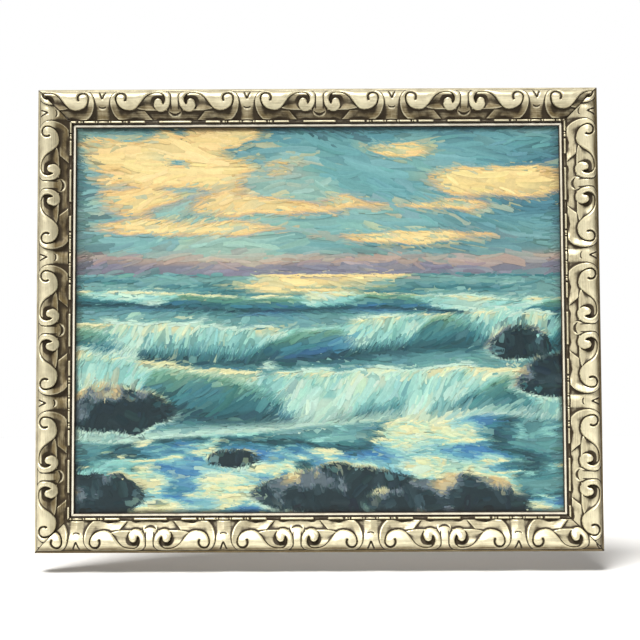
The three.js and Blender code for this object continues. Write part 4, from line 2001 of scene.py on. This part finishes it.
# ---- the canvas
@dataclass
class Canvas:
    """The cloth: a flat sheet whose edges are turned back over the stretcher's sides."""

    surround: Surround
    edge: float = 50.0  # t of the cloth's turned edges
    front: float = 17.7  # h of its face
    back: float = 0.5  # h of the ends of its turned edges
    thickness: float = 0.8
    weave_step: float = 5.0
    seen_from: float = 59.9  # t from which the picture is painted
    turns: tuple[float, float] = (0.08, 0.92)  # the turned edge, shared between its two rows
    paint_low: float = 0.12
    paint_high: float = 0.95
    underpainting: float = 0.93  # its brightness against the strokes'
    brushes: tuple[Brush, ...] = (
        Brush("broad", strokes=800, length=62.0, width=13.0, along=8, across=3, seed=3),
        Brush("middle", strokes=3400, length=28.0, width=5.6, along=5, across=2, seed=4, picky=0.6),
        Brush("fine", strokes=11000, length=12.5, width=2.5, along=3, across=2, seed=5, picky=1.6),
    )

    @property
    def width(self) -> float:
        """The stretched canvas's width."""
        return self.surround.width - 2 * self.edge

    @property
    def height(self) -> float:
        """The stretched canvas's height."""
        return self.surround.height - 2 * self.edge

    def build(self, raw: bpy.types.Material, painted: bpy.types.Material) -> bpy.types.Object:
        """Builds the cloth with its underpainting.

        Args:
            raw: The finish of its back.
            painted: The finish of its front and of its turned edges.

        Returns:
            The cloth.
        """
        bm = bmesh.new()
        columns, rows = round(self.width / self.weave_step), round(self.height / self.weave_step)
        bmesh.ops.create_grid(bm, x_segments=columns, y_segments=rows, size=0.5)
        (mid_x, mid_z), y = self.surround.middle, self.surround.back - self.front
        for vertex in bm.verts:
            x, z = vertex.co.x * self.width + mid_x, vertex.co.y * self.height + mid_z
            vertex.co = Vector((x, y, z)) * MM
        rim = [edge for edge in bm.edges if edge.is_boundary]
        depth = self.front - self.back
        for share in self.turns:
            made = bmesh.ops.extrude_edge_only(bm, edges=rim)["geom"]
            turned = [item for item in made if isinstance(item, bmesh.types.BMVert)]
            bmesh.ops.translate(bm, verts=turned, vec=(0, depth * share * MM, 0))
            rim = [item for item in made if isinstance(item, bmesh.types.BMEdge) and item.is_boundary]
        bmesh.ops.recalc_face_normals(bm, faces=bm.faces)
        front = min(bm.faces, key=lambda face: face.calc_center_median().y)
        if front.normal.y > 0:
            bmesh.ops.reverse_faces(bm, faces=bm.faces)
        outer = set(bm.faces)
        bmesh.ops.solidify(bm, geom=bm.faces[:], thickness=self.thickness * MM)
        for face in bm.faces:
            face.material_index = 0 if face in outer else 1
        put_in_order(bm)
        piece = finished("stretched_canvas", bm, painted, raw, sharp=50)
        flat = np.empty(len(piece.data.vertices) * 3, np.float32)
        piece.data.vertices.foreach_get("co", flat)
        x, _, z = flat.reshape(-1, 3).T / MM
        left, top = self.corner
        across, down = (x - left) / self.seen_height, (top - z) / self.seen_height
        write_colours(piece.data, Seascape().colour(across, down) * self.underpainting)
        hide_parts("canvas")
        log.info("%s: %d faces", piece.name, len(piece.data.polygons))
        return piece

    @property
    def corner(self) -> tuple[float, float]:
        """The x and z of the picture's top left corner, just inside the slip's sight edge."""
        (mid_x, mid_z), surround = self.surround.middle, self.surround
        return mid_x - surround.width / 2 + self.seen_from, mid_z + surround.height / 2 - self.seen_from

    @property
    def seen_width(self) -> float:
        """The width of the picture inside the slip, and a little under it."""
        return self.surround.width - 2 * self.seen_from

    @property
    def seen_height(self) -> float:
        """The height of the picture inside the slip, and a little under it."""
        return self.surround.height - 2 * self.seen_from

    def paint(self, finish: bpy.types.Material) -> list[bpy.types.Object]:
        """Lays the strokes of the three brushes on the cloth.

        Args:
            finish: The paint.

        Returns:
            The three layers.
        """
        left, top = self.corner
        scene = Seascape()
        levels = np.linspace(self.paint_low, self.paint_high, len(self.brushes) + 1)
        return [
            PaintLayer(brush, scene, left, top, self.seen_width, self.seen_height,
                       self.front - self.surround.back, low, high)
            .build(finish)
            for brush, low, high in zip(self.brushes, levels[:-1], levels[1:])]

    def declare(self) -> None:
        """Works out the cloth's flat size, its turned edges laid out, and its area less the corners, and
        keeps neither.
        """
        depth = self.front - self.back
        flat = ((self.width + 2 * depth) * MM, (self.height + 2 * depth) * MM)
        corners = 4 * depth * depth * MM * MM
        flat[0] * flat[1] - corners


# ---- fittings
@dataclass
class Fittings:
    """The sawtooth hanger and its nails, with the sharpness of their pressed edges taken off."""

    ease: float = 0.14

    def build(self, plate: bpy.types.Material, nail: bpy.types.Material) -> None:
        """Builds the hanger and the nails from the frame's own shapes.

        Args:
            plate: The hanger's finish.
            nail: The nails' finish.
        """
        for node, slot, finish in (
            ("hanger", "hanger_steel", plate),
            ("hanger_nail_left", "nail_steel", nail),
            ("hanger_nail_right", "nail_steel", nail),
        ):
            bm = bmesh.new()
            bm.from_mesh(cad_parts[node].data)
            bmesh.ops.remove_doubles(bm, verts=bm.verts, dist=1e-6)
            bmesh.ops.dissolve_limit(bm, angle_limit=math.radians(1), verts=bm.verts, edges=bm.edges)
            arrises = [edge for edge in bm.edges if edge.calc_face_angle(0) > math.radians(25)]
            ease(bm, arrises, self.ease)
            piece = finished(f"pressed_{node}", bm, finish, sharp=35)
            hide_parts(node)
            log.info("%s built", piece.name)


# ---- the studio
@dataclass(frozen=True)
class Lamp:
    """A soft light that looks at the picture."""

    name: str
    place: tuple[float, float, float]
    power: float
    size: float = 1.5  # metres across
    spread: float = 0.0  # degrees across, for a light that is far away instead
    tint: Colour = (1.0, 1.0, 1.0)

    def hang(self, target: Vector) -> None:
        """Puts the light in the scene.

        Args:
            target: What it is turned towards.
        """
        data = bpy.data.lights.new(self.name, "SUN" if self.spread else "AREA")
        data.energy, data.color = self.power, self.tint
        if self.spread:
            data.angle = math.radians(self.spread)
        else:
            data.size = self.size
        lamp = bpy.data.objects.new(self.name, data)
        lamp.location = target + Vector(self.place)
        lamp.rotation_euler = (target - lamp.location).to_track_quat("-Z", "Y").to_euler()
        bpy.context.scene.collection.objects.link(lamp)


@dataclass(frozen=True)
class Studio:
    """The floor, the light and the camera."""

    distance: float = 2.0  # of the camera, in metres
    azimuth: float = 0.13  # degrees
    elevation: float = -3.28
    roll: float = -0.24
    lens: float = 73.5
    aim: tuple[float, float] = (0.0025, -0.0027)  # metres right of and above the middle
    floor_gap: float = 0.03  # metres under the frame
    floor_size: float = 12.0
    floor_tone: Colour = (0.9, 0.9, 0.9)
    sky: Colour = (1.0, 0.965, 0.88)
    ambient: float = 0.12
    lamps: tuple[Lamp, ...] = (
        Lamp("key", (-0.55, -1.1, 1.9), 4.6, spread=28.0, tint=(1.0, 0.98, 0.945)),
        Lamp("back", (0.6, 1.8, 1.2), 14.0),
    )

    def build(self) -> None:
        """Builds the studio round the CAD's box."""
        low, high = CAD_BOX
        middle = (low + high) / 2
        self.lay_floor(low.z - self.floor_gap)
        self.fill_sky()
        for lamp in self.lamps:
            lamp.hang(middle)
        self.set_camera(middle)
        bpy.context.scene.view_settings.view_transform = "Standard"

    def lay_floor(self, level: float) -> None:
        """Lays the floor at a height.

        Args:
            level: The height, in metres.
        """
        bm = bmesh.new()
        bmesh.ops.create_grid(bm, x_segments=1, y_segments=1, size=self.floor_size / 2)
        bmesh.ops.translate(bm, verts=bm.verts, vec=(0, 0, level))
        mesh = bpy.data.meshes.new("floor")
        bm.to_mesh(mesh)
        bm.free()
        floor = bpy.data.objects.new("floor", mesh)
        bpy.context.scene.collection.objects.link(floor)
        board = Board("pale_floor")
        board.set(Base_Color=self.floor_tone, Roughness=0.9)
        mesh.materials.append(board.material)

    def fill_sky(self) -> None:
        """A soft sky all round, which the camera sees as plain white."""
        world = bpy.data.worlds.new("studio")
        world.use_nodes = True
        bpy.context.scene.world = world
        tree = world.node_tree
        soft = tree.nodes["Background"]
        soft.inputs["Color"].default_value = (*self.sky, 1.0)
        soft.inputs["Strength"].default_value = self.ambient
        white = tree.nodes.new("ShaderNodeBackground")
        white.inputs["Color"].default_value = (1.0, 1.0, 1.0, 1.0)
        rays = tree.nodes.new("ShaderNodeLightPath")
        choice = tree.nodes.new("ShaderNodeMixShader")
        tree.links.new(rays.outputs["Is Camera Ray"], choice.inputs[0])
        tree.links.new(soft.outputs[0], choice.inputs[1])
        tree.links.new(white.outputs[0], choice.inputs[2])
        tree.links.new(choice.outputs[0], tree.nodes["World Output"].inputs["Surface"])

    def set_camera(self, middle: Vector) -> None:
        """Puts the camera low in front of the picture, looking slightly up at it.

        Args:
            middle: The middle of the CAD's box.
        """
        data = bpy.data.cameras.new("camera")
        data.lens = self.lens
        camera = bpy.data.objects.new("camera", data)
        bpy.context.scene.collection.objects.link(camera)
        around, above = math.radians(self.azimuth), math.radians(self.elevation)
        away = Vector((math.sin(around) * math.cos(above), -math.cos(around) * math.cos(above),
                       math.sin(above)))
        aim = middle + Vector((self.aim[0], 0, self.aim[1]))
        camera.location = aim + away * self.distance
        camera.rotation_euler = (-away).to_track_quat("-Z", "Y").to_euler()
        camera.rotation_euler.rotate_axis("Z", math.radians(self.roll))
        bpy.context.scene.camera = camera


def main() -> None:
    """Builds the picture and its studio."""
    logging.basicConfig(level=logging.INFO, format="%(name)s: %(message)s")
    Studio().build()
    surround = Surround.from_frame()
    CarvedRails(surround).build(
        Gilding("silver_gilt", leaf=(0.87, 0.80, 0.565), shade=(0.135, 0.090, 0.024),
                glaze_and_shade=(0.030, 0.018, 0.004), metal=0.45).material())
    Slips(surround).build(
        Gilding("slip_gilt", leaf=(0.94, 0.89, 0.75), shade=(0.56, 0.49, 0.35),
                glaze_and_shade=(0.035, 0.025, 0.014), metal=0.35).material())
    bars = Stretcher(surround).build(
        BarePine("stretcher_pine", (0.66, 0.47, 0.27), (0.50, 0.31, 0.15)).material())
    canvas = Canvas(surround)
    cloth = canvas.build(RawCloth("raw_cotton", (0.62, 0.55, 0.42), (0.36, 0.30, 0.21)).material(),
                         OilPaint("underpainting", threads=950.0).material())
    layers = canvas.paint(OilPaint("oil_paint").material())
    canvas.declare()
    Fittings().build(PlatedSteel("zinc_plate", (0.62, 0.62, 0.60), (0.42, 0.42, 0.41)).material(),
                     PlatedSteel("nail_steel", (0.50, 0.48, 0.45), (0.30, 0.28, 0.26)).material())


if __name__ == "__main__":
    main()
